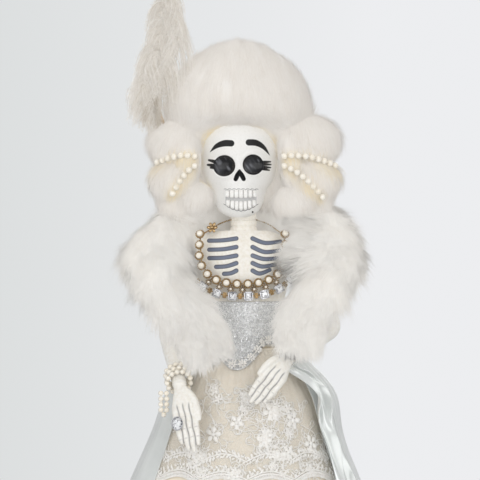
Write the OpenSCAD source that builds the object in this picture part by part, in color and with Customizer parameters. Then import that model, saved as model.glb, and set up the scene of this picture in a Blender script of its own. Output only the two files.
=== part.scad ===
// Dressed papier-mache skeleton lady: paper figure on a dowel, cloth gown, fur stole, wig and jewellery.
// Millimetres, +Z up, the figure looks along -Y, the table is at z = 0.

/* [Stand] */
// Thickness of the round board under the gown
base_h = 14; // [10:1:18]
// Radius of the round board
base_r = 118; // [105:1:124]
// Diameter of the dowel that carries the figure
dowel_d = 12; // [9:1:13]
// Diameter of the screw that holds the dowel on the board
screw_d = 4; // [3:0.5:5]

/* [Gown] */
// Height of the waist above the table
waist_z = 306; // [300:1:312]
// Half-width of the paper form at the waist
waist_r = 26; // [25:0.5:27]
// Half-width of the paper form at its foot
foot_r = 152; // [148:1:156]
// Exponent of the bell curve between waist and foot
flare = 0.72; // [0.7:0.01:0.75]
// Depth of the gown as a share of its width
gown_depth = 0.86; // [0.85:0.01:0.88]
// Depth of the petticoat's folds at the hem
petticoat_fold = 3.2; // [2:0.1:4]
// Number of folds round the petticoat
petticoat_folds = 14; // [12:1:16]
// Depth of the overskirt's folds at the hem
overskirt_fold = 7; // [5:0.5:8]
// Number of folds round the overskirt
overskirt_folds = 8; // [7:1:10]
// Half-angle of the overskirt's front opening
front_open = 54; // [50:1:58]
// Height of the lace tier's edge above the table
lace_edge_z = 196; // [190:1:204]
// Depth of the scallops along the lace edge
scallop_h = 6; // [4:0.5:8]
// Depth of the bodice's point over the skirt
basque = 20; // [16:1:22]
// Thickness of the cloth
cloth = 1; // [0.8:0.1:1.2]

/* [Body] */
// Height of the torso from waist to shoulders
torso_h = 98; // [96:1:100]
// Half-width of the chest
chest_w = 42; // [41:0.5:43]
// Half-depth of the chest
chest_d = 27; // [26:0.5:28]
// Width of a rib groove
rib_w = 2.8; // [2.2:0.1:3.2]
// Diameter of the neck
neck_d = 21.6; // [20:0.2:22]
// Diameter of the wire in each arm
wire_d = 3; // [2:0.5:4]

/* [Head] */
// Half-width of the skull at the temples
skull_w = 32; // [31:0.5:33]
// Half-width of an eye socket
socket_r = 9.4; // [8.5:0.1:10]
// Distance of a socket's middle from the middle of the face
socket_x = 12.6; // [12:0.1:13]
// Teeth in each row
teeth = 7; // [6:1:8]

/* [Wig] */
// Half-width of the pouf where it is widest
pouf_w = 63; // [61:0.5:64]
// Height of the pouf above its widest place
pouf_h = 61; // [58:1:64]
// Depth of the pouf below its widest place
pouf_under = 12; // [10:0.5:14]
// Diameter of the pearls laid on the curls
curl_pearl_d = 5.6; // [4.8:0.2:6]

/* [Plume] */
// Diameter of the plume's quill
quill_d = 2.6; // [2:0.2:3]
// Half-width of the plume where it is widest
plume_w = 24; // [20:0.5:25]
// Half-thickness of the plume
plume_t = 6; // [4:0.5:7]

/* [Jewellery] */
// Diameter of the necklace's large pearls
pearl_d = 5.4; // [4.8:0.2:5.6]
// Width of the gold rim round a large pearl
rim_w = 1.3; // [1:0.1:1.4]
// Number of large pearls
pearls = 16; // [14:1:16]
// Side of a square crystal
stone_w = 6; // [5.4:0.2:6.2]
// Number of square crystals
stones = 8; // [6:1:8]
// Gap between the necklace's two rows at their ends
row_gap_side = 2.2; // [1.8:0.1:2.6]
// Gap between the necklace's two rows in front
row_gap_front = 2.8; // [2.4:0.1:3.2]
// Diameter of the seed pearls between the rows
seed_d = 2.4; // [2:0.1:2.6]
// Diameter of the bracelet's pearls
bead_d = 4.4; // [4:0.1:4.6]
// Beads in one strand of the bracelet
beads = 13; // [12:1:13]

/* [Fit] */
// Gap between pieces that lie against each other
lay_gap = 0.25; // [0.2:0.05:0.4]
// Radial gap of the quill in its hole
quill_gap = 0.4; // [0.3:0.05:0.6]
// Gap between the bracelet and the wrist
wrist_gap = 0.8; // [0.6:0.1:1.2]

/* [Hidden] */
$fn = 48;
torso_x = -2;
head_x = -6;
shoulder_z = torso_h - 11;
neck_h = 21; // height of the neck above the shoulders
dowel_over = 30; // height of the dowel's end above the shoulders
skull_h = 95;
skull_z = torso_h + 11; // height of the chin above the waist
wrist_r = 6;
elbow_r = 8.2;
shoulder_r = 9.6;
neck_r = neck_d / 2;
dowel_r = dowel_d / 2;
gem_t = 2.6;
wire_r = 0.7;
string_r = 0.5;
screw_l = 34;
wire_start = 0.27; // share of the upper arm above the end of its wire
hem_z = 3;
skirt_gap = lay_gap + 0.8; // room for the skirt's folds under the bodice

// Arms: shoulder, elbow and wrist, measured from the waist
right_shoulder = [torso_x - 37, 0, shoulder_z];
right_elbow = [-67, 4, 15];
right_wrist = [-55, -50, -30];
right_tip = [-44, -78, -84];
left_shoulder = [torso_x + 37, 0, shoulder_z];
left_elbow = [75, 4, 16];
left_wrist = [36, -51, -6];
left_tip = [4, -73, -45];

// Bracelet: ring round the right forearm
strand_tilt = 14;
strand_r = (wrist_r + wrist_gap + bead_d / 2) / cos(strand_tilt) + 0.6;

// Plume: foot and direction of the quill
quill_foot = [-63, -6, skull_z + 57];
quill_aim = [-17, -10, 56];
quill_dir = quill_aim / norm(quill_aim);
quill_end = quill_foot + quill_aim;
quill_top = quill_end - quill_dir * 20;

// Small helpers
function mix(a, b, t) = a + (b - a) * t;
function unit(v) = v / norm(v);
function ease(t) = t * t * (3 - 2 * t);
function span(i, n) = n < 2 ? 0 : i / (n - 1);
function middle(r) = [for (k = [0:2]) [for (p = r) p[k]] * [for (p = r) 1] / len(r)];
// Length from the first point and share of the way, for each point of a path
function lengths(p) = let (n = len(p)) [
    for (i = 0, s = 0; i < n; s = s + (i < n - 1 ? norm(p[i + 1] - p[i]) : 0), i = i + 1) [s, span(i, n)]
];
function oval(c, w, d, n) = [for (j = [0:n - 1]) c + [w * cos(360 * j / n), d * sin(360 * j / n), 0]];

// Closed solid through a row of rings that have the same number of points
module loft(rings) {
    m = len(rings);
    n = len(rings[0]);
    points = concat([for (r = rings) each r], [middle(rings[0]), middle(rings[m - 1])]);
    walls = [for (i = [0:m - 2]) for (j = [0:n - 1]) let (
        a = i * n + j,
        b = i * n + (j + 1) % n
    ) each [[a, a + n, b + n], [a, b + n, b]]];
    foot = [for (j = [0:n - 1]) [m * n, j, (j + 1) % n]];
    head = [for (j = [0:n - 1]) [m * n + 1, (m - 1) * n + (j + 1) % n, (m - 1) * n + j]];
    polyhedron(points, concat(walls, foot, head), convexity = 8);
}

// Sheet of cloth between an outer and an inner grid of points, closed round or open in front
module sheet(outer, inner, closed) {
    m = len(outer);
    n = len(outer[0]);
    last = closed ? n - 1 : n - 2;
    k = m * n;
    points = concat([for (r = outer) each r], [for (r = inner) each r]);
    walls = [for (i = [0:m - 2]) for (j = [0:last]) let (
        a = i * n + j,
        b = i * n + (j + 1) % n,
        c = a + n,
        d = b + n
    ) each [[a, c, d], [a, d, b], [k + a, k + b, k + d], [k + a, k + d, k + c]]];
    rims = [for (j = [0:last]) let (
        a = j,
        b = (j + 1) % n,
        c = (m - 1) * n + j,
        d = (m - 1) * n + (j + 1) % n
    ) each [[k + a, a, b], [k + a, b, k + b], [k + c, d, c], [k + c, k + d, d]]];
    ends = closed ? [] : [for (i = [0:m - 2]) let (
        a = i * n,
        b = a + n,
        c = a + n - 1,
        d = b + n - 1
    ) each [[k + a, k + b, b], [k + a, b, a], [k + c, d, k + d], [k + c, c, d]]];
    polyhedron(points, concat(walls, rims, ends), convexity = 10);
}

// Ring of points round a path: wide is the direction of its half-width
function rib_ring(p, along, wide, w, t, n) = let (
    u = unit(wide - along * (wide * along)),
    v = cross(along, u)
) [for (j = [0:n - 1]) p + u * (w * cos(360 * j / n)) + v * (t * sin(360 * j / n))];
function heading(path, i) = unit(path[min(i + 1, len(path) - 1)] - path[max(i - 1, 0)]);

module chain_of(points, r, n) {
    for (i = [0:len(points) - 2]) hull() {
        translate(points[i]) sphere(r = r[i], $fn = n);
        translate(points[i + 1]) sphere(r = r[i + 1], $fn = n);
    }
}

module tube(path, r, n) {
    loft([for (i = [0:len(path) - 1]) rib_ring(path[i], heading(path, i), unit([0.3, 1, 0.2]), r, r, n)]);
}

module along(p, q) {
    v = q - p;
    translate(p) rotate([0, acos(v[2] / norm(v)), atan2(v[1], v[0])]) children();
}

module rod(p, q, r) {
    along(p, q) cylinder(r = r, h = norm(q - p), $fn = 16);
}

// Makes one mesh of the pieces inside
module meshed() {
    resize([0, 0, 0]) children();
}

module at_waist() {
    translate([0, 0, waist_z]) children();
}

// Gown: half-width of the paper form and of each layer of cloth at a height.
// The form is straight between levels, and every layer has its rows at the same levels.
levels = 8;
function level(i) = mix(base_h, waist_z, 1 - pow(1 - span(i, levels), 1.6));
function bell_r(z) = waist_r + (foot_r - waist_r) * pow((waist_z - z) / (waist_z - base_h), flare);
form_table = [for (i = [0:levels - 1]) [level(i), bell_r(level(i))]];
form_slope = (form_table[0][1] - form_table[1][1]) / (form_table[1][0] - form_table[0][0]);
function form_r(z) = z < base_h ? foot_r + form_slope * (base_h - z) : lookup(z, form_table);
function drop(z) = (waist_z - z) / waist_z;
function petticoat_a(z) = 0.3 + petticoat_fold * drop(z);
function petticoat_r(z, a) = form_r(z) + lay_gap + cloth
    + petticoat_a(z) * (1 + cos(petticoat_folds * a)) / 2;
function lace_r(z, a) = petticoat_r(z, a) + lay_gap + cloth;
function overskirt_base(z) = form_r(z) + petticoat_a(z) + 3 * (lay_gap + cloth) + 0.6;
function hip(z) = 6 * exp(-pow((z - waist_z + 36) / 26, 2));
function overskirt_r(z, s) = overskirt_base(z) + hip(z)
    + (1 + overskirt_fold * drop(z)) * (1 - cos(360 * s * overskirt_folds)) / 2;
function gown_point(r, a, z) = [r * sin(a), -r * gown_depth * cos(a), z];

module base_board() {
    color("BurlyWood") difference() {
        rotate_extrude($fn = 96) polygon([
            [0, 0], [base_r - 2, 0], [base_r, 2], [base_r, base_h - 3], [base_r - 3, base_h], [0, base_h]
        ]);
        translate([0, 0, base_h / 2]) cylinder(r = dowel_r, h = base_h);
        translate([0, 0, -1]) cylinder(r = screw_d / 2, h = base_h);
        translate([0, 0, -0.01]) cylinder(r1 = screw_d, r2 = screw_d / 2, h = screw_d / 2);
    }
}

module base_screw() {
    color("Silver") difference() {
        union() {
            translate([0, 0, 0.4]) cylinder(r1 = screw_d - 0.4, r2 = screw_d / 2, h = screw_d / 2 - 0.4);
            translate([0, 0, 0.5]) cylinder(r = screw_d / 2 - 0.05, h = screw_l);
        }
        translate([0, 0, 0.5]) cube([screw_d * 1.2, 0.8, 1.2], center = true);
        translate([0, 0, 0.5]) cube([0.8, screw_d * 1.2, 1.2], center = true);
    }
}

module central_dowel() {
    color("Tan") difference() {
        translate([0, 0, base_h / 2]) cylinder(r = dowel_r, h = waist_z + torso_h + dowel_over - base_h / 2);
        cylinder(r = screw_d / 2, h = screw_l + 1);
    }
}

module skirt_form() {
    color("Wheat") difference() {
        scale([1, gown_depth, 1]) rotate_extrude($fn = 96) polygon(concat(
            [[0, base_h]],
            [for (row = form_table) [row[1], row[0]]],
            [[0, waist_z]]
        ));
        translate([0, 0, base_h - 1]) cylinder(r = dowel_r + lay_gap / 2, h = waist_z);
    }
}

module petticoat() {
    n = 3 * petticoat_folds;
    zs = concat([hem_z], [for (i = [1:levels - 2]) level(i)], [waist_z - 1]);
    function spot(z, a, gap) = gown_point(petticoat_r(z, a) - gap, a, z);
    color("Bisque") sheet(
        [for (z = zs) [for (j = [0:n - 1]) spot(z, -360 * j / n, 0)]],
        [for (z = zs) [for (j = [0:n - 1]) spot(z, -360 * j / n, cloth)]],
        true
    );
}

// One scallop hangs below each fold of the petticoat
function lace_edge(a) = lace_edge_z + scallop_h * abs(sin(petticoat_folds * a / 2));

module lace_tier() {
    n = 3 * petticoat_folds;
    above = [for (i = [1:levels - 2]) if (level(i) > lace_edge_z + scallop_h + 1) level(i)];
    rows = len(above) + 2;
    function row_z(i, a) = i == 0 ? lace_edge(a) : i == rows - 1 ? waist_z - 2 : above[i - 1];
    function spot(i, j, gap) = let (a = -360 * j / n, z = row_z(i, a)) gown_point(lace_r(z, a) - gap, a, z);
    color("White") sheet(
        [for (i = [0:rows - 1]) [for (j = [0:n - 1]) spot(i, j, 0)]],
        [for (i = [0:rows - 1]) [for (j = [0:n - 1]) spot(i, j, cloth)]],
        true
    );
}

module overskirt() {
    n = 5 * overskirt_folds + 1;
    zs = concat([hem_z], [for (i = [1:levels - 2]) level(i)], [waist_z - 5]);
    function turn(s) = -front_open - (360 - 2 * front_open) * s;
    function spot(z, s, gap) = gown_point(overskirt_r(z, s) - gap, turn(s), z);
    color("LightSlateGray") sheet(
        [for (z = zs) [for (j = [0:n - 1]) spot(z, span(j, n), 0)]],
        [for (z = zs) [for (j = [0:n - 1]) spot(z, span(j, n), cloth)]],
        false
    );
}

// Sash: falls from the left wrist along the edge of the overskirt, with one twist
module sash() {
    rows = 15;
    n = 12;
    top = waist_z - 14;
    low = 60;
    function sash_z(s) = mix(top, low, pow(s, 1.25));
    function sash_a(s) = mix(60, 50, ease(s)) - 20 * exp(-pow(s / 0.1, 2));
    function sash_at(s) = let (z = sash_z(s))
        gown_point(overskirt_r(z, 0) + 7.5 + overskirt_fold * drop(z), sash_a(s), z);
    path = [for (i = [0:rows - 1]) sash_at(span(i, rows))];
    color("LightGray") loft([for (i = [0:rows - 1]) let (
        s = span(i, rows),
        a = sash_a(s),
        twist = 70 * exp(-pow((s - 0.24) / 0.07, 2)),
        out = [sin(a), -cos(a), 0],
        side = [cos(a), sin(a), 0]
    ) rib_ring(
        path[i],
        heading(path, i),
        side * cos(twist) + out * sin(twist),
        mix(6, 10.5, ease(min(1, s * 2.2))),
        2.2,
        n
    )]);
}

// Torso: half-width and half-depth at a height above the waist
function torso_w(z) = chest_w * lookup(z / torso_h, [
    [0, 0.64], [0.13, 0.66], [0.36, 0.8], [0.6, 0.93], [0.8, 1], [0.9, 0.95], [0.96, 0.8], [1, 0.52]
]);
function torso_d(z) = chest_d * lookup(z / torso_h, [
    [0, 0.82], [0.13, 0.82], [0.36, 0.92], [0.6, 1], [0.8, 0.97], [0.9, 0.82], [0.96, 0.64], [1, 0.5]
]);
function chest_y(x, z) = -torso_d(z) * sqrt(max(0.3, 1 - pow((x - torso_x) / torso_w(z), 2)));

module torso_body(grow) {
    rows = 11;
    loft([for (i = [0:rows - 1]) let (z = torso_h * (1 - pow(1 - span(i, rows), 1.3)))
        oval([torso_x, 0, z], torso_w(z) + grow, torso_d(z) + grow, 32)]);
}

module rib_groove(side, row) {
    z = torso_h * (0.915 - 0.071 * row);
    far = [31, 31, 29, 25, 20][row];
    xs = [for (s = [0:2]) torso_x + side * mix(5.5, far, s / 2)];
    chain_of(
        [for (s = [0:2]) [xs[s], chest_y(xs[s], z) + 0.1, z + 1 - s]],
        [for (s = [0:2]) rib_w / 2],
        8
    );
}

module torso() {
    color("Ivory") at_waist() meshed() difference() {
        torso_body(0);
        translate([0, 0, -1]) cylinder(r = dowel_r + lay_gap, h = torso_h + 2);
        for (side = [-1, 1]) for (row = [0:4]) rib_groove(side, row);
    }
}

module neck() {
    top = torso_h + neck_h;
    color("Ivory") at_waist() difference() {
        translate([torso_x, 0, 0]) rotate_extrude($fn = 64) polygon([
            [0, torso_h], [neck_r, torso_h], [neck_r, torso_h + 3], [neck_r - 0.6, torso_h + 3.6],
            [neck_r, torso_h + 4.2], [neck_r, torso_h + 8.4], [neck_r - 0.6, torso_h + 9],
            [neck_r, torso_h + 9.6], [neck_r, top], [0, top]
        ]);
        translate([0, 0, torso_h - 1]) cylinder(r = dowel_r + lay_gap / 2, h = neck_h + 2);
    }
}

// Skull: half-width, middle in depth and half-depth by height above the chin
function skull_half(t) = skull_w * lookup(t, [
    [0, 0.2], [0.016, 0.38], [0.06, 0.53], [0.12, 0.62], [0.2, 0.68], [0.25, 0.73], [0.3, 0.84],
    [0.36, 0.94], [0.43, 1], [0.585, 1], [0.72, 0.97], [0.85, 0.81], [0.945, 0.53], [1, 0.18]
]);
function skull_mid(t) = lookup(t, [
    [0, -19], [0.016, -17], [0.06, -12], [0.12, -7], [0.2, -3], [0.29, 2], [0.375, 4], [0.46, 5], [1, 8]
]);
function skull_deep(t) = lookup(t, [
    [0, 7], [0.016, 11], [0.06, 18], [0.12, 25], [0.2, 31], [0.29, 36.5], [0.375, 39], [0.46, 39.5],
    [0.585, 40], [0.72, 38], [0.85, 32], [0.945, 21], [1, 8]
]);
function skull_y(x, z) = let (t = (z - skull_z) / skull_h)
    skull_mid(t) - skull_deep(t) * sqrt(max(0.02, 1 - pow(x / skull_half(t), 2)));

module skull_body(grow) {
    rows = 16;
    loft([for (i = [0:rows - 1]) let (t = (1 - cos(180 * span(i, rows))) / 2)
        oval(
            [head_x, skull_mid(t), skull_z + skull_h * t + grow * (2 * t - 1)],
            skull_half(t) + grow,
            skull_deep(t) + grow,
            32
        )]);
}

module skull_socket(side) {
    z = skull_z + 44.5;
    x = side * socket_x;
    translate([head_x + x, skull_y(x, z) - 1.4, z]) rotate([0, side * 10, side * 18])
        scale([socket_r, 6, socket_r * 0.96]) sphere(r = 1, $fn = 18);
}

module nose_hole() {
    z = skull_z + 41;
    for (side = [-1, 1]) hull() {
        translate([head_x, skull_y(0, z), z]) sphere(r = 1.4, $fn = 10);
        translate([head_x + side * 3, skull_y(0, z - 8), z - 8]) sphere(r = 2.4, $fn = 10);
    }
}

module mouth_line() {
    z = skull_z + 15.4;
    chain_of(
        [for (s = [-2:2]) let (x = s * 7) [head_x + 1 + x, skull_y(x, z), z + 0.12 * s * s]],
        [for (s = [-2:2]) 0.9],
        8
    );
}

module skull() {
    color("WhiteSmoke") at_waist() meshed() difference() {
        skull_body(0);
        translate([torso_x, 0, 0]) cylinder(r = neck_r + lay_gap, h = torso_h + neck_h + lay_gap);
        translate([0, 0, torso_h]) cylinder(r = dowel_r + lay_gap / 2, h = dowel_over + lay_gap);
        skull_socket(-1);
        skull_socket(1);
        nose_hole();
        mouth_line();
    }
}

module tooth_row(z, h) {
    wide = 26;
    pitch = wide / teeth;
    for (i = [0:teeth - 1]) let (x = (i - (teeth - 1) / 2) * pitch)
        translate([head_x + 1 + x, skull_y(x, z) + 0.2, z]) rotate([0, 0, x * 2.2])
            scale([pitch * 0.47, 1.9, h / 2]) sphere(r = 1, $fn = 8);
}

module upper_teeth() {
    color("Snow") at_waist() meshed() difference() {
        tooth_row(skull_z + 20.2, 7.4);
        skull_body(lay_gap / 4);
    }
}

module lower_teeth() {
    color("Snow") at_waist() meshed() difference() {
        tooth_row(skull_z + 10.6, 7);
        skull_body(lay_gap / 4);
    }
}

// Arms and hands
module arm_body(shoulder, elbow, wrist, grow) {
    mid = mix(elbow, wrist, 0.35);
    thick = [for (r = [shoulder_r, elbow_r, elbow_r - 0.6, wrist_r]) r + grow];
    chain_of([shoulder, elbow, mid, wrist], thick, 14);
}

// Wire from the upper arm to the palm, or the channel for it where a gap is given
module arm_wire(shoulder, elbow, wrist, tip, gap) {
    start = mix(shoulder, elbow, gap > 0 ? wire_start - 0.02 : wire_start);
    tube([start, elbow, wrist, mix(wrist, tip, 0.3)], wire_d / 2 + gap, 10);
}

module right_arm() {
    color("Ivory") at_waist() meshed() difference() {
        arm_body(right_shoulder, right_elbow, right_wrist, 0);
        torso_body(lay_gap);
        hand_solid(right_wrist, right_tip, 1, lay_gap / 4);
        arm_wire(right_shoulder, right_elbow, right_wrist, right_tip, lay_gap / 2);
    }
}

module left_arm() {
    color("Ivory") at_waist() meshed() difference() {
        arm_body(left_shoulder, left_elbow, left_wrist, 0);
        torso_body(lay_gap);
        hand_solid(left_wrist, left_tip, -1, lay_gap / 4);
        arm_wire(left_shoulder, left_elbow, left_wrist, left_tip, lay_gap / 2);
    }
}

module right_arm_wire() {
    color("DimGray") at_waist()
        arm_wire(right_shoulder, right_elbow, right_wrist, right_tip, 0);
}

module left_arm_wire() {
    color("DimGray") at_waist()
        arm_wire(left_shoulder, left_elbow, left_wrist, left_tip, 0);
}

// Hand: fingers along -Z, back of the hand to -Y, thumb to the side given
module hand_shape(l, thumb, grow) {
    knuckle = -0.42 * l;
    xs = [-7.2, -2.4, 2.4, 7.2];
    reach = [0.86, 0.96, 1, 0.92];
    hull() {
        sphere(r = wrist_r - 0.3 + grow, $fn = 14);
        for (x = [xs[0], xs[3]]) translate([x, 0, knuckle]) sphere(r = 3.8 + grow, $fn = 12);
    }
    for (i = [0:3]) let (x = -thumb * xs[3 - i], f = reach[i]) chain_of(
        [[x, 0, knuckle], [x * 1.02, -2, knuckle + (-f * l - knuckle) * 0.48], [x * 0.86, 0.6, -f * l + 2]],
        [3.5 + grow, 3 + grow, 2 + grow],
        10
    );
    chain_of(
        [[thumb * 4.4, -1, -0.1 * l], [thumb * 10.6, -3, -0.34 * l], [thumb * 11, -3.6, -0.58 * l]],
        [3.8 + grow, 3.3 + grow, 2.2 + grow],
        10
    );
}

module hand_solid(wrist, tip, thumb, grow) {
    v = tip - wrist;
    swing = atan2(-v[0], -v[2]);
    lift = atan2(v[1], norm([v[0], v[2]]));
    translate(wrist) rotate([0, swing, 0]) rotate([lift, 0, 0]) hand_shape(norm(v), thumb, grow);
}

module right_hand() {
    color("Ivory") at_waist() meshed() difference() {
        hand_solid(right_wrist, right_tip, 1, 0);
        arm_wire(right_shoulder, right_elbow, right_wrist, right_tip, lay_gap / 2);
    }
}

module left_hand() {
    color("Ivory") at_waist() meshed() difference() {
        hand_solid(left_wrist, left_tip, -1, 0);
        arm_wire(left_shoulder, left_elbow, left_wrist, left_tip, lay_gap / 2);
    }
}

// Ring: oval setting and stone on the back of the outer finger
function ring_spot() = mix(right_wrist, right_tip, 0.56) + [-7.6, -5.4, 0];

module ring_place() {
    translate(ring_spot()) rotate([66, 0, 0]) children();
}

module ring_setting() {
    color("Silver") at_waist() meshed() difference() {
        ring_place() translate([0, 0, -4]) scale([4.8, 6, 1]) cylinder(r = 1, h = 5.4, $fn = 24);
        ring_place() translate([0, 0, 0.2]) scale([4.1, 5.3, 1]) cylinder(r = 1, h = 4, $fn = 24);
        hand_solid(right_wrist, right_tip, 1, 0.05);
    }
}

module ring_stone() {
    color("AliceBlue") at_waist() meshed() ring_place() translate([0, 0, 0.2]) scale([4, 5.2, 1]) union() {
        cylinder(r = 1, h = 1.6, $fn = 24);
        translate([0, 0, 1.6]) cylinder(r1 = 1, r2 = 0.6, h = 1.3, $fn = 24);
    }
}

// Bracelet: three strands that touch each other and a loop that hangs from the lowest
module strand_place(k) {
    along(right_wrist, right_elbow) translate([0, 0, 13 - k * (bead_d + 0.02) / cos(strand_tilt)])
        rotate([0, strand_tilt, 0]) children();
}

module strand(k) {
    color("Linen") at_waist() strand_place(k) {
        rotate_extrude() translate([strand_r, 0]) circle(r = string_r, $fn = 16);
        for (i = [0:beads - 1]) rotate([0, 0, 360 * (i + 0.5 * (k % 2)) / beads])
            translate([strand_r, 0, 0]) sphere(r = bead_d / 2, $fn = 24);
    }
}

module bracelet_upper() {
    strand(0);
}

module bracelet_middle() {
    strand(1);
}

module bracelet_lower() {
    strand(2);
}

// Loop of the bracelet's string, beside the hand
module bracelet_loop() {
    rows = 4;
    gap = bead_d * 0.54;
    pitch = bead_d * 1.04;
    top = right_wrist + [-13, -3, -6.5];
    foot = top + [0, 0, -pitch * (rows - 1) - sqrt(pitch * pitch - gap * gap)];
    right = [for (i = [0:rows - 1]) top + [gap, 0, -pitch * (rows - 1 - i)]];
    left = [for (i = [0:rows - 1]) top + [-gap, 0, -pitch * i]];
    color("Linen") at_waist() beads_on(concat(left, [foot], right), bead_d);
}

// Fur stole: band over the shoulders, both ends falling in front
module stole_body() {
    half = [
        [[-25, -57, -8], 19, 7], [[-34, -57, 7], 25, 10], [[-46, -54, 24], 25, 12], [[-60, -48, 42], 25, 13],
        [[-72, -37, 60], 24, 15], [[-75, -20, 78], 26, 15], [[-62, 2, 97], 22, 13], [[-42, 28, 107], 20, 11]
    ];
    other = [
        [[42, 29, 109], 20, 11], [[66, 2, 99], 23, 13], [[74, -21, 80], 23, 15], [[71, -37, 61], 20, 14],
        [[58, -49, 42], 23, 12], [[48, -55, 24], 24, 11], [[41, -58, 9], 21, 9], [[40, -58, -1], 14, 6]
    ];
    spots = concat(half, [[[0, 40, 105], 19, 10]], other);
    path = [for (s = spots) s[0]];
    last = len(path) - 1;
    function wide(i) = let (t = i / last * 2 - 1)
        unit([-sign(t) * sqrt(abs(t)), 0, -0.2 - 1.4 * exp(-pow(t / 0.18, 2))]);
    loft([for (i = [0:last]) rib_ring(path[i], heading(path, i), wide(i), spots[i][1], spots[i][2], 18)]);
}

module fur_stole() {
    color("White") at_waist() meshed() difference() {
        stole_body();
        torso_body(lay_gap + 1.6);
        arm_body(right_shoulder, right_elbow, right_wrist, lay_gap);
        arm_body(left_shoulder, left_elbow, left_wrist, lay_gap);
        hand_solid(left_wrist, left_tip, -1, lay_gap);
    }
}

// Bodice: level behind, its edge dips over the skirt in front
bodice_rows = [9, 23, torso_h * 0.39];
function edge_z(a) = 2 - basque * exp(-pow((a + 10) / 26, 2));
function bodice_edge(a, grow) = let (
    z = edge_z(a),
    share = max(0, min(1, (z + 2) / 4)),
    r = lace_r(waist_z + min(z, 0), a) + skirt_gap,
    w = mix(r, torso_w(2) + lay_gap, share) + grow,
    d = mix(r * gown_depth, torso_d(2) + lay_gap, share) + grow
) [torso_x * share + w * sin(a), -d * cos(a), z];
function bodice_oval(a, z, grow) = let (gap = lay_gap + grow)
    [torso_x + (torso_w(z) + gap) * sin(a), -(torso_d(z) + gap) * cos(a), z];
function bodice_point(row, a, grow) = row == 0
    ? bodice_edge(a, grow)
    : bodice_oval(a, bodice_rows[row - 1], grow);
// Point of the bodice's outer face between its edge and the row above
function on_bodice(a, share) = mix(bodice_point(0, a, cloth), bodice_point(1, a, cloth), share);

module bodice() {
    n = 3 * petticoat_folds;
    function ring(row, grow) = [for (j = [0:n - 1]) bodice_point(row, 360 * j / n - 180, grow)];
    color("LightGray") at_waist() sheet(
        [for (row = [0:len(bodice_rows)]) ring(row, cloth)],
        [for (row = [0:len(bodice_rows)]) ring(row, 0)],
        true
    );
}

// Lace daisies side by side along the bodice's edge, on one thread
module waist_lace() {
    daisy_r = 3.6;
    daisy_gap = lay_gap + 0.8;
    steps = 120;
    table = lengths([for (j = [0:steps]) on_bodice(360 * j / steps - 180, 0.4)]);
    round = table[steps][0];
    count = floor(round / (2 * daisy_r + lay_gap));
    daisy_h = 0.9;
    places = [for (i = [0:count - 1]) let (
        a = 360 * lookup(round * i / count, table) - 180,
        rise = on_bodice(a, 1) - on_bodice(a, 0),
        share = (daisy_r + lay_gap) / norm(rise),
        y = unit(rise),
        z = unit(cross(on_bodice(a + 3, share) - on_bodice(a - 3, share), y))
    ) [on_bodice(a, share) + z * daisy_gap, cross(y, z), y, z]];
    color("White") at_waist() for (i = [0:count - 1]) let (
        p = places[i],
        q = places[(i + 1) % count]
    ) {
        multmatrix([for (k = [0:2]) [p[1][k], p[2][k], p[3][k], p[0][k]]]) {
            cylinder(r = daisy_r, h = daisy_h, $fn = 24);
            cylinder(r = daisy_r / 3, h = 1.5, $fn = 16);
        }
        rod(p[0] + p[3] * daisy_h / 2, q[0] + q[3] * daisy_h / 2, daisy_h / 3);
    }
}

// Wig: the places of its rolls and pearls are measured from the chin
pouf_z = skull_z + 88;
under_turn = 40;

module pouf_body(grow) {
    rows = 11;
    n = 30;
    loft([for (i = [0:rows - 1]) let (
        a = mix(-under_turn, 87, span(i, rows)),
        w = pouf_w * cos(a),
        rise = sin(a) * (a < 0 ? pouf_under / sin(under_turn) : pouf_h)
    ) oval([head_x, 6, pouf_z + rise + grow * (a < 0 ? -1 : sin(a))], w + grow, w * 0.8 + grow, n)]);
}

module wig_pouf() {
    color("White") at_waist() meshed() difference() {
        pouf_body(0);
        skull_body(lay_gap);
        quill_hole();
    }
}

module back_body(grow) {
    translate([head_x, 30, skull_z + 60])
        scale([44 + grow, 26 + grow, 40 + grow]) sphere(r = 1, $fn = 18);
}

module wig_back() {
    color("White") at_waist() meshed() difference() {
        back_body(0);
        skull_body(lay_gap);
        pouf_body(lay_gap);
    }
}

module lobe(p, w, d, h) {
    translate([0, 0, skull_z] + p) scale([w, d, h]) sphere(r = 1, $fn = 16);
}

module quill_hole() {
    rod(quill_foot - quill_dir * 2, quill_end, quill_d / 2 + quill_gap + 0.1);
}

// Three rolls of curls at each side and a fourth close to the face
module right_curls() {
    color("White") at_waist() meshed() difference() {
        union() {
            lobe([-60, 0, 63], 23, 26, 20);
            lobe([-61, -2, 32], 21, 23, 18);
            lobe([-41, -8, 17], 14, 16, 13);
            lobe([-48, -12, 49], 11, 15, 26);
        }
        wig_neighbours();
        strand_groove(right_upper_path());
        strand_groove(right_lower_path());
        quill_hole();
    }
}

module left_curls() {
    color("White") at_waist() meshed() difference() {
        union() {
            lobe([53, 0, 65], 27, 27, 22);
            lobe([56, -2, 32], 24, 23, 20);
            lobe([41, -8, 13], 18, 16, 15);
            lobe([37, -12, 49], 11, 15, 26);
        }
        wig_neighbours();
        strand_groove(left_upper_path());
        strand_groove(left_lower_path());
    }
}

module wig_neighbours() {
    skull_body(lay_gap);
    pouf_body(lay_gap);
    back_body(lay_gap);
    stole_body();
}

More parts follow.
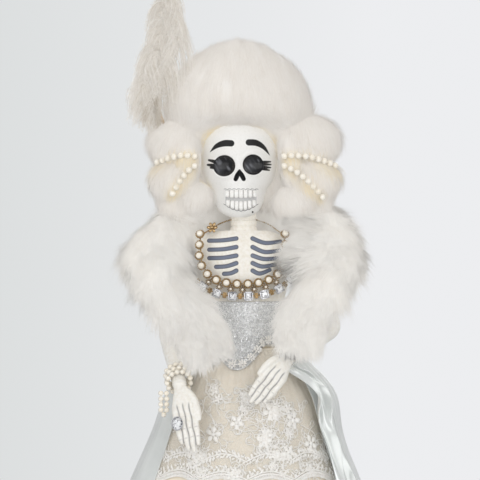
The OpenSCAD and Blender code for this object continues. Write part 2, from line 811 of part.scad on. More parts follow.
// Pearls in the two grooves at each side of the wig, evenly strung along a bow
function bow3(a, b, c, t) = a * pow(1 - t, 2) + b * (2 * t * (1 - t)) + c * t * t;
function strung(a, b, c, pitch) = let (
    pts = [for (i = [0:40]) bow3(a, b, c, i / 40)],
    table = lengths(pts),
    count = floor(table[len(pts) - 1][0] / pitch)
) [for (k = [0:count]) [0, 0, skull_z] + bow3(a, b, c, lookup(k * pitch, table))];
curl_pitch = curl_pearl_d * 1.08;
function right_upper_path() = strung([-43, -27, 51], [-58, -31, 54], [-79, -11, 45], curl_pitch);
function right_lower_path() = strung([-43, -27, 43], [-54, -28, 37], [-64, -22, 15], curl_pitch);
function left_upper_path() = strung([32, -27, 51], [53, -33, 54], [77, -11, 43], curl_pitch);
function left_lower_path() = strung([32, -27, 43], [49, -29, 37], [66, -22, 15], curl_pitch);

module strand_groove(path) {
    chain_of(path, [for (p = path) curl_pearl_d / 2 + lay_gap + 0.2], 8);
}

module beads_on(path, d) {
    for (p = path) translate(p) rotate([0, 0, -90]) sphere(r = d / 2, $fn = 24);
    for (i = [0:len(path) - 2]) rod(path[i], path[i + 1], string_r);
}

module pearl_row(path) {
    color("Linen") at_waist() beads_on(path, curl_pearl_d);
}

module right_pearls_upper() {
    pearl_row(right_upper_path());
}

module right_pearls_lower() {
    pearl_row(right_lower_path());
}

module left_pearls_upper() {
    pearl_row(left_upper_path());
}

module left_pearls_lower() {
    pearl_row(left_lower_path());
}

// Plume: quill in the wig and a vane that bends over at its tip
module plume_quill() {
    color("SaddleBrown") at_waist() rod(quill_foot, quill_top, quill_d / 2);
}

module plume_vane() {
    rows = 13;
    function vane_x(t) = -75 - 9 * sin(180 * min(1, t * 1.7)) * (1 - t) + 12 * t * t
        + 8 * exp(-pow((t - 0.5) / 0.22, 2));
    function vane_y(t) = -12 - 9 * ease(min(1, t * 5)) - 4 * t * t;
    path = [for (i = [0:rows - 1]) let (t = span(i, rows)) [vane_x(t), vane_y(t), skull_z + 86 + 118 * t]];
    function vane_w(t) = plume_w * (0.16 + 0.84 * pow(sin(180 * pow(t, 0.85)), 0.8));
    color("White") at_waist() meshed() difference() {
        loft([for (i = [0:rows - 1]) let (t = span(i, rows))
            rib_ring(path[i], heading(path, i), [1, 0, 0], vane_w(t), mix(2.2, plume_t, sin(180 * t)), 16)]);
        rod(quill_foot, quill_top + quill_dir * 0.02, quill_d / 2 + lay_gap / 4);
    }
}

// Necklace: two rows hang on a curve over the chest, measured from the waist
neck_mid = [-3, torso_h * 0.83];
inner_half = [34, 28];
cup_r = pearl_d / 2 + rim_w;
setting_w = stone_w + 1.2;
outer_half = inner_half + [row_gap_side, row_gap_front] + [1, 1] * (cup_r + setting_w / 2);
seat_z = wire_r + lay_gap / 2;
link_r = wire_r * 0.7;
// The rows are round below and rise straight beside the neck
bow = 2 / 2.5;
bow_turn = 118;
leg_h = 12;
bow_steps = 80;
// Shares of the curve where the row of crystals begins and ends
row_from = 0.29;
row_to = 0.85;
function bow_point(h, s) = let (t = mix(-bow_turn, bow_turn, s), over = max(0, abs(t) - 90)) [
    neck_mid[0] + h[0] * sign(t) * pow(sin(abs(t) - over), bow),
    neck_mid[1] - h[1] * pow(max(0, cos(abs(t) - over)), bow) + leg_h * over / (bow_turn - 90)
];
function bow_table(h) = lengths([for (i = [0:bow_steps]) bow_point(h, i / bow_steps)]);
inner_table = bow_table(inner_half);
outer_table = bow_table(outer_half);
function bow_at(h, table, u) = bow_point(h, lookup(u * table[bow_steps][0], table));
// The necklace hangs on a surface that is flatter than the chest and touches it in the middle
hang_w = 48;
function hang_turn(q) = atan(torso_d(q[1]) * (q[0] - torso_x) / pow(hang_w, 2));
function hang_face(q) = let (turn = hang_turn(q)) [sin(turn), -cos(turn), 0];
chest_lift = 1.4 + cloth + wire_r;
function on_chest(q) = [q[0], -torso_d(q[1]) * (1 - pow((q[0] - torso_x) / hang_w, 2) / 2), q[1]]
    + hang_face(q) * chest_lift;
function inner_spot(u) = on_chest(bow_at(inner_half, inner_table, u));
function outer_spot(u) = on_chest(bow_at(outer_half, outer_table, u));
// Place of a crystal, or of a spacer where i ends in a half
function stone_u(i) = mix(row_from, row_to, i / (stones - 1));
// Place of the seed pearl between two large pearls, where the row of crystals is below it
function seed_u(i) = (i + 0.5) / (pearls - 1);
seeded = [for (i = [0:pearls - 2]) if (seed_u(i) > row_from && seed_u(i) < row_to) i];

// Sets a piece on the chest at a place of the row, its face outward
module set_on(h, table, u) {
    q = bow_at(h, table, u);
    face = hang_face(q);
    p = on_chest(q);
    ahead = on_chest(bow_at(h, table, min(1, u + 0.02)));
    behind = on_chest(bow_at(h, table, max(0, u - 0.02)));
    x = unit(ahead - behind);
    z = unit(face - x * (face * x));
    y = cross(z, x);
    multmatrix([for (k = [0:2]) [x[k], y[k], z[k], p[k]]]) translate([0, 0, seat_z]) children();
}

function nape(side) = [
    [torso_x + side * 26, -7, torso_h + 2],
    [torso_x + side * 21, 5, torso_h + 5.5],
    [torso_x + side * 12, 14, torso_h + 9],
    [torso_x + side * 1.5, 17, torso_h + 11]
];

module necklace_wires() {
    inner = [for (i = [0:pearls - 1]) inner_spot(span(i, pearls))];
    outer = [for (i = [-0.5:0.5:stones - 0.5]) outer_spot(stone_u(i))];
    left = nape(1);
    right = nape(-1);
    color("Gold") at_waist() {
        tube(concat([for (i = [1:len(right)]) right[len(right) - i]], inner, left), wire_r, 6);
        tube(outer, wire_r, 6);
    }
}

// Links that hold the outer row on the inner one
module necklace_links() {
    color("Gold") at_waist() for (i = seeded) let (
        p = outer_spot(seed_u(i)),
        q = inner_spot(seed_u(i)),
        v = unit(q - p) * (wire_r + lay_gap)
    ) rod(p + v, q - v, link_r);
}

module in_pearl_row() {
    for (i = [0:pearls - 1]) set_on(inner_half, inner_table, span(i, pearls)) children();
}

module in_stone_row() {
    for (i = [0:stones - 1]) set_on(outer_half, outer_table, stone_u(i)) children();
}

module necklace_cups() {
    color("Gold") at_waist() in_pearl_row() difference() {
        cylinder(r1 = pearl_d * 0.42, r2 = cup_r, h = pearl_d * 0.45, $fn = 24);
        translate([0, 0, 0.5 + pearl_d / 2]) sphere(r = pearl_d / 2, $fn = 24);
    }
}

module necklace_pearls() {
    color("Linen") at_waist() in_pearl_row()
        translate([0, 0, 0.5 + pearl_d / 2]) sphere(r = pearl_d / 2, $fn = 24);
}

// Seed pearls on the links between the rows
module necklace_seeds() {
    color("Linen") at_waist() for (i = seeded) let (
        u = seed_u(i),
        out = hang_face(bow_at(inner_half, inner_table, u)) * (link_r + lay_gap / 4 + seed_d / 2)
    ) translate(mix(inner_spot(u), outer_spot(u), 0.46) + out) sphere(r = seed_d / 2, $fn = 20);
}

module necklace_settings() {
    color("Silver") at_waist() in_stone_row() difference() {
        translate([0, 0, gem_t / 2]) cube([setting_w, setting_w, gem_t], center = true);
        translate([0, 0, 0.6 + gem_t]) cube([stone_w, stone_w, 2 * gem_t], center = true);
    }
}

module necklace_stones() {
    corner = stone_w * sqrt(0.5);
    color("AliceBlue") at_waist() in_stone_row() translate([0, 0, 0.6]) rotate([0, 0, 45]) union() {
        cylinder(r = corner, h = gem_t - 1, $fn = 4);
        translate([0, 0, gem_t - 1]) cylinder(r1 = corner, r2 = stone_w * 0.42, h = 1.2, $fn = 4);
    }
}

// Three fluted rollers beside each crystal
module necklace_spacers() {
    flute_r = 0.56;
    flute_l = 4.8;
    color("Gold") at_waist() for (i = [0:stones]) set_on(outer_half, outer_table, stone_u(i - 0.5))
        for (k = [-1:1]) translate([k * 1.9 * flute_r, -flute_l / 2, flute_r]) rotate([-90, 0, 0])
            cylinder(r = flute_r, h = flute_l, $fn = 16);
}

// Flower on a short stem where the row of pearls meets the wire round the neck
module necklace_flower() {
    wire = nape(-1)[0];
    middle = wire + [-0.6, -5, 0.6];
    color("Gold") at_waist() meshed() {
        translate(middle) rotate([80, 0, -20]) {
            for (k = [0:5]) rotate([0, 0, 60 * k]) translate([3, 0, 0])
                scale([1.9, 1.5, 0.7]) sphere(r = 1, $fn = 8);
            sphere(r = 1.8, $fn = 10);
        }
        rod(middle, wire + unit(middle - wire) * (wire_r + lay_gap / 2), link_r);
    }
}

module necklace_clasp() {
    color("Gold") at_waist() translate([torso_x, 17 + wire_r + 1.4, torso_h + 11]) rotate([0, 90, 0])
        cylinder(r = 1.4, h = 7, center = true, $fn = 24);
}

base_board();
base_screw();
central_dowel();
skirt_form();
petticoat();
lace_tier();
overskirt();
sash();
torso();
neck();
skull();
upper_teeth();
lower_teeth();
right_arm();
left_arm();
right_arm_wire();
left_arm_wire();
right_hand();
left_hand();
ring_setting();
ring_stone();
bracelet_upper();
bracelet_middle();
bracelet_lower();
bracelet_loop();
fur_stole();
bodice();
waist_lace();
wig_pouf();
wig_back();
right_curls();
left_curls();
right_pearls_upper();
right_pearls_lower();
left_pearls_upper();
left_pearls_lower();
plume_quill();
plume_vane();
necklace_wires();
necklace_links();
necklace_cups();
necklace_pearls();
necklace_seeds();
necklace_settings();
necklace_stones();
necklace_spacers();
necklace_flower();
necklace_clasp();
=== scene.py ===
"""Looks of the dressed skeleton lady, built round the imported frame. Shapes are worked in millimetres."""

import math

import bpy
import numpy as np
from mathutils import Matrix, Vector


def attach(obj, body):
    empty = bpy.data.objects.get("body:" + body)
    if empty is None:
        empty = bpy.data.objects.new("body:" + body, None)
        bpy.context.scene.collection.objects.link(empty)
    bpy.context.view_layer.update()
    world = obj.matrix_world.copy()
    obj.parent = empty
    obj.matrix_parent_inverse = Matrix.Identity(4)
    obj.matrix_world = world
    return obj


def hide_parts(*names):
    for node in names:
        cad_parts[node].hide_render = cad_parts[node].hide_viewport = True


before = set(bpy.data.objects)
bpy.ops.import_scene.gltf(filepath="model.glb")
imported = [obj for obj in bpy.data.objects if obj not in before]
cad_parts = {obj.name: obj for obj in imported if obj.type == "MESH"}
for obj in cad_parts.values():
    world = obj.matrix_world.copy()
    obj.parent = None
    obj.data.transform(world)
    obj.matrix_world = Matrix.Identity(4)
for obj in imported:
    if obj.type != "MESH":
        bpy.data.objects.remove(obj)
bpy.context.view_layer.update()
MM = 0.001
TAU = 2 * math.pi
WAIST = 306.0
UP = np.array([0.0, 0.0, WAIST])
# Paint distance, in millimetres, of a place without paint
FAR = 9.0
rng = np.random.default_rng(11)


# Small mathematics


def unit(v):
    return v / np.maximum(np.linalg.norm(v, axis=-1, keepdims=True), 1e-9)


def mix(a, b, t):
    return a + (b - a) * t


def ease(t):
    t = np.clip(t, 0, 1)
    return t * t * (3 - 2 * t)


def bell(x, mid, width):
    return np.exp(-(((x - mid) / width) ** 2))


def vec(*parts):
    """Points from their coordinates, which are numbers or arrays."""
    return np.stack(np.broadcast_arrays(*parts), axis=-1)


def angles(n):
    return np.arange(n) / n * TAU


def circle(r, a, z=0):
    return vec(r * np.cos(a), r * np.sin(a), z)


def way(turn):
    """Flat direction at an angle."""
    return np.array([math.cos(turn), math.sin(turn)])


def square_to(v, n):
    """What is left of v at right angles to the unit vectors n."""
    return v - n * (v * n).sum(axis=-1, keepdims=True)


def run_along(p):
    """Length run along a path at each of its points."""
    return np.concatenate([[0], np.cumsum(np.linalg.norm(np.diff(p, axis=0), axis=1))])


def bow(a, b, c, t):
    """Curve from a to c that is drawn towards b."""
    return a * (1 - t) ** 2 + b * 2 * t * (1 - t) + c * t**2


def rounded_ends(t, share):
    """Size along a sausage at places t: 1, but falling to 0 in a round over a share of each end."""
    return np.sqrt(1 - (1 - np.minimum(t, 1 - t) / share).clip(0, 1) ** 2)


def spline(stations, t):
    """Smooth values through evenly spaced stations, at places t from 0 to 1."""
    p = np.asarray(stations, float)
    n = len(p)
    x = np.clip(np.asarray(t, float), 0, 1) * (n - 1)
    i = np.minimum(x.astype(int), n - 2)
    f = (x - i).reshape(-1, *([1] * (p.ndim - 1)))
    a, b, c, d = p[np.maximum(i - 1, 0)], p[i], p[i + 1], p[np.minimum(i + 2, n - 1)]
    return b + 0.5 * f * (c - a + f * (2 * a - 5 * b + 4 * c - d + f * (3 * (b - c) + d - a)))


def noise(p, size, seed=0):
    """Value noise from -1 to 1 at points p, with bumps of about that size."""
    q = np.asarray(p, float) / size + seed * 17.3
    i = np.floor(q)
    f = q - i
    f = f * f * (3 - 2 * f)
    total = 0
    for k in range(8):
        o = np.array([k & 1, k >> 1 & 1, k >> 2 & 1])
        h = np.sin((i + o) @ np.array([127.1, 311.7, 74.7])) * 43758.5453
        total = total + np.where(o, f, 1 - f).prod(axis=-1) * (h - np.floor(h))
    return total * 2 - 1


def noise3(p, size, seed=0):
    return np.stack([noise(p, size, seed + k * 5) for k in range(3)], axis=-1)


def rot(axis, angle):
    """Turning matrices about x, y or z by angles in radians."""
    a = np.asarray(angle, float)
    c, s, o, z = np.cos(a), np.sin(a), np.ones_like(a), np.zeros_like(a)
    rows = {
        "x": [[o, z, z], [z, c, -s], [z, s, c]],
        "y": [[c, z, s], [z, o, z], [-s, z, c]],
        "z": [[c, -s, z], [s, c, z], [z, z, o]],
    }[axis]
    return np.stack([np.stack(r, axis=-1) for r in rows], axis=-2)


def smooth_table(rows, width=0.025):
    """A rounded curve through a table of (place, value) rows, for places from 0 to 1."""
    steps = 500
    t = np.linspace(0, 1, steps + 1)
    y = np.interp(t, *np.array(rows, float).T)
    half = int(3 * width * steps)
    k = np.exp(-((np.arange(-half, half + 1) / (width * steps)) ** 2) / 2)
    y = np.convolve(np.pad(y, half, mode="reflect", reflect_type="odd"), k / k.sum(), mode="valid")
    return lambda q: np.interp(q, t, y)


# Meshes


def add_mesh(name, shape, mat, stands=None, body="figure", smooth=True, attrs=None, normals=None):
    """A piece from points in millimetres and arrays of faces; it stands for the CAD node of that name."""
    verts, faces = shape
    v = np.asarray(verts, np.float32).reshape(-1, 3) * MM
    blocks = [np.asarray(f, np.int32) for f in faces]
    total = np.concatenate([np.full(len(f), f.shape[1], np.int32) for f in blocks])
    loops = np.concatenate([f.ravel() for f in blocks])
    me = bpy.data.meshes.new(name)
    me.vertices.add(len(v))
    me.vertices.foreach_set("co", v.ravel())
    me.loops.add(len(loops))
    me.loops.foreach_set("vertex_index", loops)
    me.polygons.add(len(total))
    me.polygons.foreach_set("loop_start", np.concatenate([[0], np.cumsum(total)[:-1]]).astype(np.int32))
    me.polygons.foreach_set("loop_total", total)
    me.polygons.foreach_set("use_smooth", np.full(len(total), smooth))
    me.update(calc_edges=True)
    for key, values in (attrs or {}).items():
        a = me.attributes.new(key, "FLOAT", "POINT")
        a.data.foreach_set("value", np.asarray(values, np.float32).ravel())
    if normals is not None:
        me.normals_split_custom_set_from_vertices(unit(np.asarray(normals, float)).tolist())
    o = bpy.data.objects.new(name, me)
    bpy.context.scene.collection.objects.link(o)
    me.materials.append(mat)
    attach(o, body)
    if stands:
        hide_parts(stands)
    return o


def grid_faces(m, n, closed):
    i, j = np.meshgrid(np.arange(m - 1), np.arange(n if closed else n - 1), indexing="ij")
    a, b = i * n + j, i * n + (j + 1) % n
    return vec(a, b, b + n, a + n).reshape(-1, 4)


def skin(rings):
    """Points and faces of a closed solid through rings (m, n, 3), with both ends filled."""
    r = np.asarray(rings, float)
    m, n = r.shape[:2]
    v = np.concatenate([r.reshape(-1, 3), r[:1].mean(axis=1), r[-1:].mean(axis=1)])
    j = np.arange(n)
    k = (j + 1) % n
    low = vec(m * n, k, j)
    high = vec(m * n + 1, (m - 1) * n + j, (m - 1) * n + k)
    return v, [grid_faces(m, n, True), np.concatenate([low, high])]


def grid_normals(p, closed):
    if closed:
        du = np.roll(p, -1, axis=1) - np.roll(p, 1, axis=1)
    else:
        du = np.gradient(p, axis=1)
    return unit(np.cross(du, np.gradient(p, axis=0)))


def cloth(outer, thick, closed):
    """Points and faces of a thin closed sheet whose outer face is the grid (m, n, 3)."""
    p = np.asarray(outer, float)
    m, n = p.shape[:2]
    inner = p - grid_normals(p, closed) * thick
    k = m * n
    walls = grid_faces(m, n, closed)
    j = np.arange(n if closed else n - 1)
    b = (j + 1) % n
    top = (m - 1) * n
    rims = [
        vec(j + k, b + k, b, j),
        vec(top + j, top + b, k + top + b, k + top + j),
    ]
    if not closed:
        i = np.arange(m - 1) * n
        e = i + n - 1
        rims.append(vec(i, i + n, k + i + n, k + i))
        rims.append(vec(e + n, e, k + e, k + e + n))
    return np.concatenate([p.reshape(-1, 3), inner.reshape(-1, 3)]), [walls, walls[:, ::-1] + k, *rims]


def cells(grid, closed):
    """The grid with its seam closed, and the sides and areas of its cells."""
    q = np.concatenate([grid, grid[:, :1]], axis=1) if closed else grid
    across, up = q[:-1, 1:] - q[:-1, :-1], q[1:, :-1] - q[:-1, :-1]
    return q, across, up, np.linalg.norm(np.cross(across, up), axis=-1)


def oval_rings(path, u, v, wide, thick, n):
    """Rings of n points round a path, with their half-sizes along u and v."""
    a = angles(n)[None, :, None]
    wide, thick = (np.broadcast_to(r, len(path))[:, None, None] for r in (wide, thick))
    return path[:, None] + u[:, None] * wide * np.cos(a) + v[:, None] * thick * np.sin(a)


def tube(path, radius, wide=(0.3, 1, 0.2), n=8, flat=1.0):
    """Points and faces round a path; wide gives the direction of its first radius."""
    p = np.asarray(path, float)
    t = unit(np.gradient(p, axis=0))
    u = unit(square_to(np.asarray(wide, float), t))
    return skin(oval_rings(p, u, np.cross(t, u), radius, np.multiply(radius, flat), n))


def joined(parts):
    """Several (points, faces) pairs as one."""
    verts, faces, at = [], [], 0
    for v, f in parts:
        verts.append(v)
        faces += [b + at for b in f]
        at += len(v)
    return np.concatenate(verts), faces


def moved(shape, turn, place):
    return shape[0] @ turn.T + place, shape[1]


def with_ends(values, end):
    """Values at the points of a skin, whose two end middles come last."""
    return np.concatenate([np.ravel(values), [end, end]])


def ball(n, m, power=1.0):
    """Unit ball; a power below 1 makes it squarer."""
    a = angles(n)
    h = np.linspace(-1, 1, m + 1) * math.pi / 2 * 0.97

    def bent(x):
        return np.sign(x) * np.abs(x) ** power

    x = bent(np.cos(h))[:, None] * bent(np.cos(a))
    y = bent(np.cos(h))[:, None] * bent(np.sin(a))
    return skin(vec(x, y, bent(np.sin(h))[:, None]))


def copies(shape, places, scales=1.0, turns=None):
    """One shape at k places, with scales (), (k,), (3,) or (k, 3) and turning matrices (k, 3, 3)."""
    v, f = shape
    places = np.asarray(places, float)
    s = np.asarray(scales, float)
    s = s[:, None] if s.ndim == 1 and len(s) != 3 else s
    q = v[None] * np.broadcast_to(s, (len(places), 3))[:, None]
    if turns is not None:
        q = np.einsum("kij,knj->kni", np.broadcast_to(turns, (len(places), 3, 3)), q)
    q = q + places[:, None]
    step = len(v) * np.arange(len(places))[:, None, None]
    return q.reshape(-1, 3), [(b[None] + step).reshape(-1, b.shape[1]) for b in f]


def ribbons(points, facing, width):
    """Flat tapering hairs: points (k, s, 3), the normals (k, 3) they face, widths (k,).

    Gives points, faces and the index of the hair that each point belongs to."""
    p = np.asarray(points, float)
    k, s = p.shape[:2]
    t = unit(np.gradient(p, axis=1))
    side = unit(np.cross(t, np.broadcast_to(facing[:, None], t.shape)))
    taper = 1 - np.linspace(0, 1, s) ** 2
    w = np.asarray(width, float)[:, None, None] * taper[None, :, None] / 2
    verts = np.concatenate([(p - side * w)[:, :-1], (p + side * w)[:, :-1], p[:, -1:]], axis=1)
    base = (2 * s - 1) * np.arange(k)[:, None]
    i = np.arange(s - 2)[None]
    quads = vec(base + i, base + i + s - 1, base + i + s, base + i + 1).reshape(-1, 4)
    tips = vec(base[:, 0] + s - 2, base[:, 0] + 2 * s - 3, base[:, 0] + 2 * s - 2)
    return (verts.reshape(-1, 3), [quads, tips]), np.repeat(np.arange(k), 2 * s - 1)


def scatter(grid, count, weight=1.0):
    """Random points on a grid that closes round: points, normals, directions across, rows."""
    q, across, up, area = cells(grid, True)
    area = area * weight
    pick = rng.choice(area.size, count, p=area.ravel() / area.sum())
    i, j = np.unravel_index(pick, area.shape)
    u, v = rng.random((2, count, 1))
    low, high = mix(q[i, j], q[i, j + 1], u), mix(q[i + 1, j], q[i + 1, j + 1], u)
    across, up = unit(across[i, j]), unit(up[i, j])
    return mix(low, high, v), unit(np.cross(across, up)), across, i + v[:, 0]


def strands(p, aim, length, sag):
    """Hairs (k, 6, 3) from roots p along aim, bent by sag towards their tips."""
    s = np.linspace(0, 1, 6)[None, :, None]
    return p[:, None] + length[:, None, None] * (aim[:, None] * s + sag[:, None] * s**2)


# Flat figures: distances in millimetres, negative inside


def stroke(p, points, widths, steps=10):
    """Distance to a brush stroke through points (k, 2) with half-widths (k,)."""
    t = np.linspace(0, 1, steps + 1)
    path, half = spline(points, t), spline(np.asarray(widths, float), t)
    best = np.full(p.shape[:-1], 1e9)
    for a, b, ra, rb in zip(path[:-1], path[1:], half[:-1], half[1:]):
        d = b - a
        h = np.clip(((p - a) @ d) / max(d @ d, 1e-9), 0, 1)
        best = np.minimum(best, np.linalg.norm(p - a - h[..., None] * d, axis=-1) - mix(ra, rb, h))
    return best


def oval(p, mid, w, h):
    q = (p - np.asarray(mid)) / np.array([w, h])
    return (np.linalg.norm(q, axis=-1) - 1) * min(w, h)


# Materials

# Sockets of the node that mixes two colours
COLOUR_A, COLOUR_B, COLOUR_OUT = 6, 7, 2


def material(name, colour, rough, slot=None, **inputs):
    m = bpy.data.materials.new(name)
    m.use_nodes = True
    b = m.node_tree.nodes["Principled BSDF"]
    b.inputs["Base Color"].default_value = (*colour, 1)
    b.inputs["Roughness"].default_value = rough
    for k, v in inputs.items():
        b.inputs[k.replace("_", " ")].default_value = v
    return m


def node(m, kind, **values):
    n = m.node_tree.nodes.new(kind)
    for k, v in values.items():
        if k in n.inputs:
            n.inputs[k].default_value = v
        else:
            setattr(n, k, v)
    return n


def wire(m, a, b):
    m.node_tree.links.new(a, b)


def shader(m, name):
    return m.node_tree.nodes["Principled BSDF"].inputs[name]


def grain(m, scale, detail, stretch=(1, 1, 1)):
    """Noise over the object's own coordinates."""
    c = node(m, "ShaderNodeTexCoord")
    s = node(m, "ShaderNodeMapping", Scale=stretch)
    t = node(m, "ShaderNodeTexNoise", Scale=scale, Detail=detail)
    wire(m, c.outputs["Object"], s.inputs["Vector"])
    wire(m, s.outputs["Vector"], t.inputs["Vector"])
    return t.outputs["Fac"]


def attribute(m, name):
    return node(m, "ShaderNodeAttribute", attribute_name=name).outputs["Fac"]


def map_range(m, value, from_min, from_max, to_min=0.0, to_max=1.0):
    ends = {"From Min": from_min, "From Max": from_max, "To Min": to_min, "To Max": to_max}
    r = node(m, "ShaderNodeMapRange", **ends)
    wire(m, value, r.inputs["Value"])
    return r.outputs["Result"]


def ramp(m, fac, dark, light, low, high):
    r = node(m, "ShaderNodeValToRGB")
    for e, place, colour in zip(r.color_ramp.elements, (low, high), (dark, light)):
        e.position = place
        e.color = (*colour, 1)
    wire(m, fac, r.inputs["Fac"])
    return r.outputs["Color"]


def speckle(m, scale, dark, light, stretch=(1, 1, 1), detail=4.0, low=0.35, high=0.65):
    """Base colour from noise between two colours."""
    colour = ramp(m, grain(m, scale, detail, stretch), dark, light, low, high)
    wire(m, colour, shader(m, "Base Color"))
    return colour


def bumps(m, scale, depth, strength):
    b = node(m, "ShaderNodeBump", Strength=strength, Distance=depth * MM)
    wire(m, grain(m, scale, 5.0), b.inputs["Height"])
    wire(m, b.outputs["Normal"], shader(m, "Normal"))


def paint(m, attr, colour, under, soft, inset=0.0):
    """Lays a colour where the attribute, a distance in millimetres, is below minus the inset."""
    share = map_range(m, attribute(m, attr), soft - inset, -soft - inset)
    return blend(m, share, under, colour)


def mixed(m, fac, under, colour):
    """A mix of two colours, each given as a tuple or as the output of a node."""
    x = node(m, "ShaderNodeMix", data_type="RGBA")
    wire(m, fac, x.inputs["Factor"])
    for socket, value in ((COLOUR_A, under), (COLOUR_B, colour)):
        if isinstance(value, tuple):
            x.inputs[socket].default_value = (*value, 1)
        else:
            wire(m, value, x.inputs[socket])
    return x.outputs[COLOUR_OUT]


def blend(m, fac, under, colour):
    result = mixed(m, fac, under, colour)
    wire(m, result, shader(m, "Base Color"))
    return result


def tinted(m, attr, under, colour):
    """Lays a colour by the attribute's own share from 0 to 1."""
    return blend(m, attribute(m, attr), under, colour)


IVORY = material("ivory_paint", (0.82, 0.78, 0.70), 0.45, "painted_paper")
ivory = speckle(IVORY, 420, (0.78, 0.73, 0.63), (0.86, 0.83, 0.77), low=0.25, high=0.6)
bumps(IVORY, 900, 0.12, 0.25)
outlined = paint(IVORY, "ink", (0.055, 0.062, 0.085), ivory, 0.25)
paint(IVORY, "ink", (0.15, 0.175, 0.235), outlined, 0.3, 0.55)

HAND = material("hand_paint", (0.84, 0.81, 0.75), 0.42, "painted_paper")
hand = speckle(HAND, 420, (0.79, 0.75, 0.67), (0.87, 0.85, 0.80), low=0.25, high=0.6)
bumps(HAND, 700, 0.15, 0.3)
tinted(HAND, "ink", hand, (0.25, 0.24, 0.24))

BONE = material("bone_paint", (0.86, 0.85, 0.82), 0.4, "painted_paper", Specular_IOR_Level=0.3)
bone = speckle(BONE, 700, (0.745, 0.735, 0.70), (0.81, 0.80, 0.775), low=0.2, high=0.5)
bumps(BONE, 1100, 0.12, 0.25)
toothed = paint(BONE, "mouth", (0.55, 0.545, 0.54), bone, 0.2)
drawn = paint(BONE, "lines", (0.06, 0.06, 0.065), toothed, 0.16)
inked = paint(BONE, "ink", (0.008, 0.008, 0.009), drawn, 0.16)
# Painted reflections in the glossy black sockets, as grey streaks and patches.
tinted(BONE, "smear", inked, (0.34, 0.35, 0.38))
gloss = map_range(BONE, attribute(BONE, "wet"), 0.2, -0.2, 0.4, 0.16)
wire(BONE, gloss, shader(BONE, "Roughness"))

ENAMEL = material("tooth_paint", (0.86, 0.85, 0.82), 0.35, "painted_paper")
speckle(ENAMEL, 600, (0.80, 0.78, 0.74), (0.88, 0.87, 0.85))
WOOD = material("board_wood", (0.5, 0.36, 0.22), 0.55)
speckle(WOOD, 60, (0.40, 0.27, 0.15), (0.58, 0.43, 0.27), (1, 9, 9))
PAPER = material("paper_core", (0.6, 0.5, 0.36), 0.85)
speckle(PAPER, 90, (0.5, 0.42, 0.3), (0.66, 0.56, 0.42))
STEEL = material("drawn_steel", (0.5, 0.5, 0.51), 0.35, Metallic=1.0)
speckle(STEEL, 300, (0.42, 0.42, 0.43), (0.56, 0.56, 0.57))
GOLD = material("gilt", (0.72, 0.53, 0.24), 0.28, "gold", Metallic=1.0)
speckle(GOLD, 900, (0.27, 0.165, 0.07), (0.64, 0.47, 0.26))
SILVER = material("silver_plate", (0.68, 0.68, 0.70), 0.22, "silver", Metallic=1.0)
speckle(SILVER, 700, (0.50, 0.50, 0.52), (0.78, 0.78, 0.80))
PEARL = material("pearl", (0.84, 0.79, 0.70), 0.16, "pearl", Coat_Weight=1.0, Coat_Roughness=0.03)
speckle(PEARL, 260, (0.84, 0.77, 0.64), (0.89, 0.85, 0.77))
CRYSTAL = material("crystal", (0.80, 0.81, 0.83), 0.06, "crystal", Metallic=0.1, Coat_Weight=1.0)
# The tone of each facet is a painted reflection, light or dark.
tinted(CRYSTAL, "tone", (0.90, 0.905, 0.92), (0.06, 0.065, 0.08))
SATIN = material("champagne_satin", (0.79, 0.71, 0.60), 0.42, "champagne_satin", Sheen_Weight=0.3)
speckle(SATIN, 26, (0.85, 0.76, 0.625), (0.89, 0.825, 0.715))
bumps(SATIN, 2600, 0.05, 0.3)
GREY = material("grey_satin", (0.60, 0.62, 0.61), 0.33, "grey_satin", Sheen_Weight=0.25)
speckle(GREY, 40, (0.62, 0.64, 0.625), (0.70, 0.72, 0.705))
bumps(GREY, 2800, 0.04, 0.25)
SASH = material("sash_satin", (0.74, 0.76, 0.745), 0.2, "grey_satin", Metallic=0.25)
speckle(SASH, 40, (0.70, 0.725, 0.705), (0.77, 0.79, 0.775))
bumps(SASH, 2800, 0.04, 0.25)
NET = material("lace_net", (0.88, 0.82, 0.72), 0.7, "lace")
speckle(NET, 900, (0.86, 0.80, 0.70), (0.92, 0.88, 0.80))
CORD = material("lace_cord", (0.87, 0.85, 0.81), 0.6, "lace")
speckle(CORD, 500, (0.82, 0.79, 0.74), (0.89, 0.875, 0.85))
SPANGLE = material("silver_cloth", (0.6, 0.61, 0.61), 0.4, "silver_cloth", Metallic=0.2)
speckle(SPANGLE, 1300, (0.55, 0.555, 0.55), (0.80, 0.80, 0.795), detail=2.0, high=0.62)
GLITTER = material("glitter", (0.82, 0.83, 0.84), 0.2, "silver_cloth", Metallic=0.6)
speckle(GLITTER, 900, (0.70, 0.71, 0.72), (0.88, 0.885, 0.89))
FUR = material("fur", (0.87, 0.845, 0.81), 0.75, "fur", Sheen_Weight=0.3)
# Tone darkens the fur: painted shade in the hollows of the hide, and random tones on the hairs.
tinted(FUR, "tone", (0.84, 0.825, 0.795), (0.69, 0.65, 0.60))
COTTON = material("cotton", (0.86, 0.83, 0.79), 0.85, "cotton", Sheen_Weight=0.25)
# Tone darkens the cotton: painted shade in the hollows of the puffs, and random tones on the fibres.
combed = tinted(COTTON, "tone", (0.785, 0.76, 0.725), (0.635, 0.585, 0.53))
tinted(COTTON, "glue", combed, (0.82, 0.68, 0.38))
FEATHER = material("feather", (0.86, 0.84, 0.80), 0.7, "feather", Sheen_Weight=0.4)
# Tone darkens the feather: random tones on the barbs, and painted shade on the low barbs towards the wig.
tinted(FEATHER, "tone", (0.80, 0.775, 0.735), (0.46, 0.405, 0.33))
QUILL = material("quill", (0.42, 0.29, 0.17), 0.4, "quill")
speckle(QUILL, 200, (0.33, 0.21, 0.11), (0.55, 0.42, 0.28))


